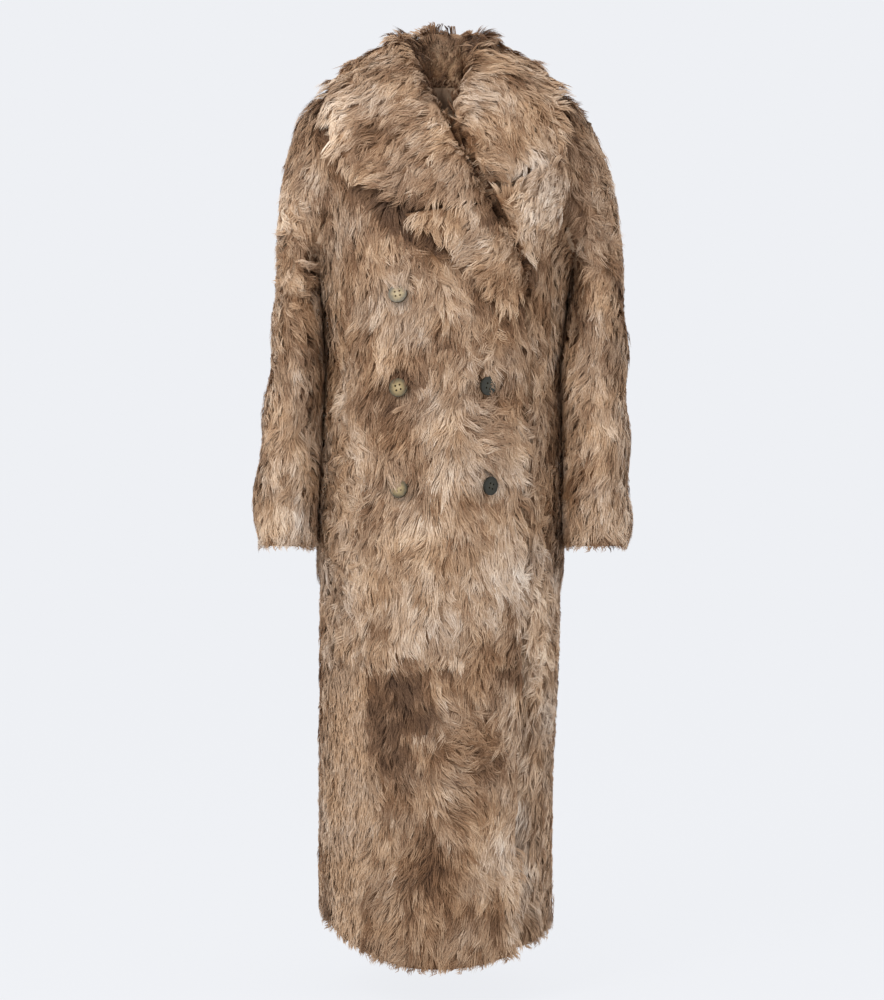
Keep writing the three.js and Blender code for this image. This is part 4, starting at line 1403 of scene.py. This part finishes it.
collar_parts = [
    stations(RIGHT_FRONT, front_frame(RIGHT_EDGE, column(RIGHT_FRONT, 0), 1.0)),
    stations(NECK, neck_frame(column(NECK, 0))),
    stations(LEFT_FRONT, front_frame(LEFT_EDGE, column(LEFT_FRONT, 0), -1.0)),
    flat_end(LEFT_END),
]
collar_fur, collar_suede = (np.concatenate([part[k] for part in collar_parts]) for k in (0, 1))

_, lapel_thick, lapel_x, lapel_z = zip(*RIGHT_LAPEL)
zero, lapel_y = [0] * len(RIGHT_LAPEL), [None] * len(RIGHT_LAPEL)
lapel_frame = front_frame(RIGHT_EDGE, column(RIGHT_LAPEL, 0), 1.0)
right_fur, right_suede = sections(lapel_frame, zero, lapel_thick, lapel_x, lapel_y, lapel_z, zero, zero)

ACROSS = np.array([0, 0.08, 0.3, 0.55, 0.8, 1.0])
from_x, from_z, to_x, to_z = (column(LEFT_LAPEL, k)[:, None] for k in range(4))
rim = np.full((len(LEFT_LAPEL), len(ACROSS)), THIN_EDGE)
rim[1:-1, 1:-1] = 1.0
lay_x, lay_z = mix(from_x, to_x, ACROSS), mix(from_z, to_z, ACROSS)
left_fur = on_coat(lay_x, lay_z, SEWN + WALL * rim)
left_suede = on_coat(lay_x, lay_z, np.full(rim.shape, SEWN))
print("collar stations:", len(collar_fur))

# %% Distances to the collar and the lapels
REACH_UNDER = 60.0


def tree_of(points):
    """A search tree of points for the nearest one to a place."""
    tree = kdtree.KDTree(len(points))
    for number, point in enumerate(points):
        tree.insert(point, number)
    tree.balance()
    return tree


covers = [refined(grid, (4, 4)) for grid in (collar_suede, right_suede, left_suede)]
rims = [refined(grid, (8, 4))[:, -1] for grid in (collar_fur, right_fur, left_fur)]
cover_tree = tree_of(np.concatenate([grid.reshape(-1, 3) for grid in covers]))
rim_tree = tree_of(np.concatenate(rims))


def rim_distance(points):
    """The distance of each point from the outer edges of the collar and the lapels."""
    flat = points.reshape(-1, 3)
    return np.array([rim_tree.find(point)[2] for point in flat]).reshape(points.shape[:-1])


def edge_shade(points):
    """Darker wool in the hollow below a collar's or a lapel's edge, deepest on the wearer's right."""
    depth = mix(0.31, 0.16, smooth((points[..., 0] + 40.0) / 80.0))
    return -depth * (1.0 - smooth((rim_distance(points) - 8.0) / 30.0))


def covered(points, normals):
    """True where the collar or a lapel lies right over a point, well inside its own edge."""
    nearest = np.array([cover_tree.find(point)[0] for point in points]).reshape(-1, 3)
    off = nearest - points
    up = np.sum(off * normals, -1)
    aside = np.linalg.norm(off - normals * up[:, None], axis=-1)
    return (up > 0) & (up < REACH_UNDER) & (aside < 8.0) & (rim_distance(points) > 14.0)


# %% [markdown]
# Dressing the coat
#
# The locks of the collar and the lapels part at the fold: they flow inwards to its foot and outwards
# to its edge, and stand up along its top. Inside the neck they are shorter and flatter, and painted
# shade makes them darker; towards the outer edge painted light makes them paler. No piece is
# dressed before this cell, because the panels need to know what the collar and the lapels cover.

# %% Dress all the cloth pieces
FOLD_PLACE = 0.26


def dress_grid(node, fur, suede, seed, times, longest_lock, toning):
    """A collar or lapel: a skin between two smooth grids, and locks that flow to its outer edge."""
    fur, suede = refined(fur, times), refined(suede, times)
    normals = unit(np.cross(np.gradient(fur, axis=1), np.gradient(fur, axis=0)))
    normals = normals * np.sign(np.mean(np.sum(normals * (fur - suede), -1)))
    flows = unit(np.gradient(fur, axis=1))

    def surface(u, v):
        return sample(fur, u, v), unit(sample(normals, u, v))

    tall, broad = sizes(surface)
    rows, columns = fur.shape[:2]
    u, v = np.meshgrid(np.linspace(0, 1, columns), np.linspace(0, 1, rows))
    shade = seam_shade(u, v, broad, tall)
    piece = skin(node + "_skin", mix(fur, suede, GROUND / WALL), suede, toning(fur), shade)
    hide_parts(node)
    at, out, u, v = scatter(surface, SPACING * 0.94, seed)
    parting = FOLD_PLACE + np.random.default_rng(seed + 50).normal(0, 0.05, len(u))
    outward = sample(flows, u, v) * np.where(u < parting, -1.0, 1.0)[:, None]
    flow = unit(outward + downhill(out) * 1.1 * smooth((u - FOLD_PLACE - 0.08) / 0.2)[:, None])
    fold = smooth((u - FOLD_PLACE) / 0.10)
    flow = unit(flow - out * np.sum(flow * out, -1, keepdims=True))
    flow = turned(at, out, flow)
    in_neck = smooth((at[:, 2] + 130.0) / 50.0)
    on_top = smooth((at[:, 2] - 15.0) / 30.0) * smooth((u - 0.12) / 0.1) * (1.0 - smooth((u - 0.40) / 0.15))
    at_foot = 17.0 - 8.0 * in_neck * (1.0 - smooth((u - 0.05) / 0.15))
    length = mix(at_foot, longest_lock, smooth((u - 0.30) / 0.25)) + 4.0 * on_top
    lift = mix(5.5 - 4.5 * in_neck, 1.0, fold) + 1.5 * smooth((u - 0.80) / 0.15) + 5.0 * on_top
    width = mix(*LOCK_WIDTHS, seen(at))
    # Painted shade darkens the inner side of the fold inside the neck; painted light brightens the rolled
    # outer edge.
    tone = toning(at) - 0.20 * in_neck * (1.0 - fold) + 0.08 * smooth((u - 0.80) / 0.15)
    wave = mix(1.2, 3.0, fold)
    hair = locks(node + "_fur", at, out, flow, length, width, wave, 0.8, lift, tone, seed, segments=3)


PLACES = {"front": front_place, "side": side_place, "back": back_place}
for number, (region, place) in enumerate(PLACES.items()):
    for side in ("right", "left"):
        for upper in (True, False):
            node = f"{region}_{side}_{'upper' if upper else 'lower'}"
            surface = on_body(place(side, upper), lapped=(region == "front" and side == "left"))
            dress_panel(node, surface, 100 + 10 * number + 2 * upper + (side == "left"))

for side in ("right", "left"):
    dress_sleeve(side, 300 + (side == "left"))

dress_grid("collar", collar_fur, collar_suede, 401, (4, 4), 25.0, tone_at)
dress_grid("lapel_right", right_fur, right_suede, 402, (6, 4), 22.0, tone_at)
dress_grid("lapel_left", left_fur, left_suede, 403, (8, 4), 22.0, tone_at)
print("ribbon triangles:", sum(ribbon_counts.values()))

# %% [markdown]
# Buttons
#
# The buttons are discs of horn with four holes, and the solid model already has their shape and
# tilt, so they stay. The first row is pale in the middle and runs through olive to a dark rim. The
# second row is darker horn with the shade of its sunken place painted in, so it is nearly black. The
# surface is only half polished.

# %% Horn
BUTTON_RADIUS = 0.0125
HORN_STOPS = (0.0, 0.40, 0.78, 1.0)
PALE_HORN = [(0.44, 0.34, 0.19), (0.33, 0.24, 0.11), (0.15, 0.11, 0.05), (0.05, 0.04, 0.02)]
# The second row's horn, nearly black with painted shade.
SHADED_HORN = [(0.045, 0.042, 0.026), (0.030, 0.029, 0.018), (0.020, 0.020, 0.012), (0.015, 0.015, 0.010)]


def horn_material(name, centre, colours):
    """Horn: the colour runs from the button's middle to its rim, with a slow noise in it."""
    material, tree, shader = new_material(name, 0.40, 0.35)
    where = object_place(tree)
    away = tree.nodes.new("ShaderNodeVectorMath")
    away.operation = "DISTANCE"
    away.inputs[1].default_value = centre
    tree.links.new(where, away.inputs[0])
    noise = noise_node(tree, where, 220.0, 4.0)
    share = math_node(tree, "DIVIDE", away.outputs["Value"], BUTTON_RADIUS)
    share = math_node(tree, "ADD", share, centred(tree, noise, 0.55))
    colour = ramp_node(tree, share, list(zip(HORN_STOPS, colours)))
    tree.links.new(colour, shader.inputs["Base Color"])
    worn = math_node(tree, "MULTIPLY", noise, 0.12)
    tree.links.new(math_node(tree, "ADD", worn, 0.34), shader.inputs["Roughness"])
    shader.inputs["Coat Weight"].default_value = 0.08
    shader.inputs["Coat Roughness"].default_value = 0.25
    return material


for name in BUTTONS:
    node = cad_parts[name]
    centre = np.array(node.bound_box).mean(0)
    # The second row gets the horn with painted shade.
    horn = horn_material("horn_" + name, centre, SHADED_HORN if "left" in name else PALE_HORN)
    for slot in node.material_slots:
        slot.link = "OBJECT"
        slot.material = horn
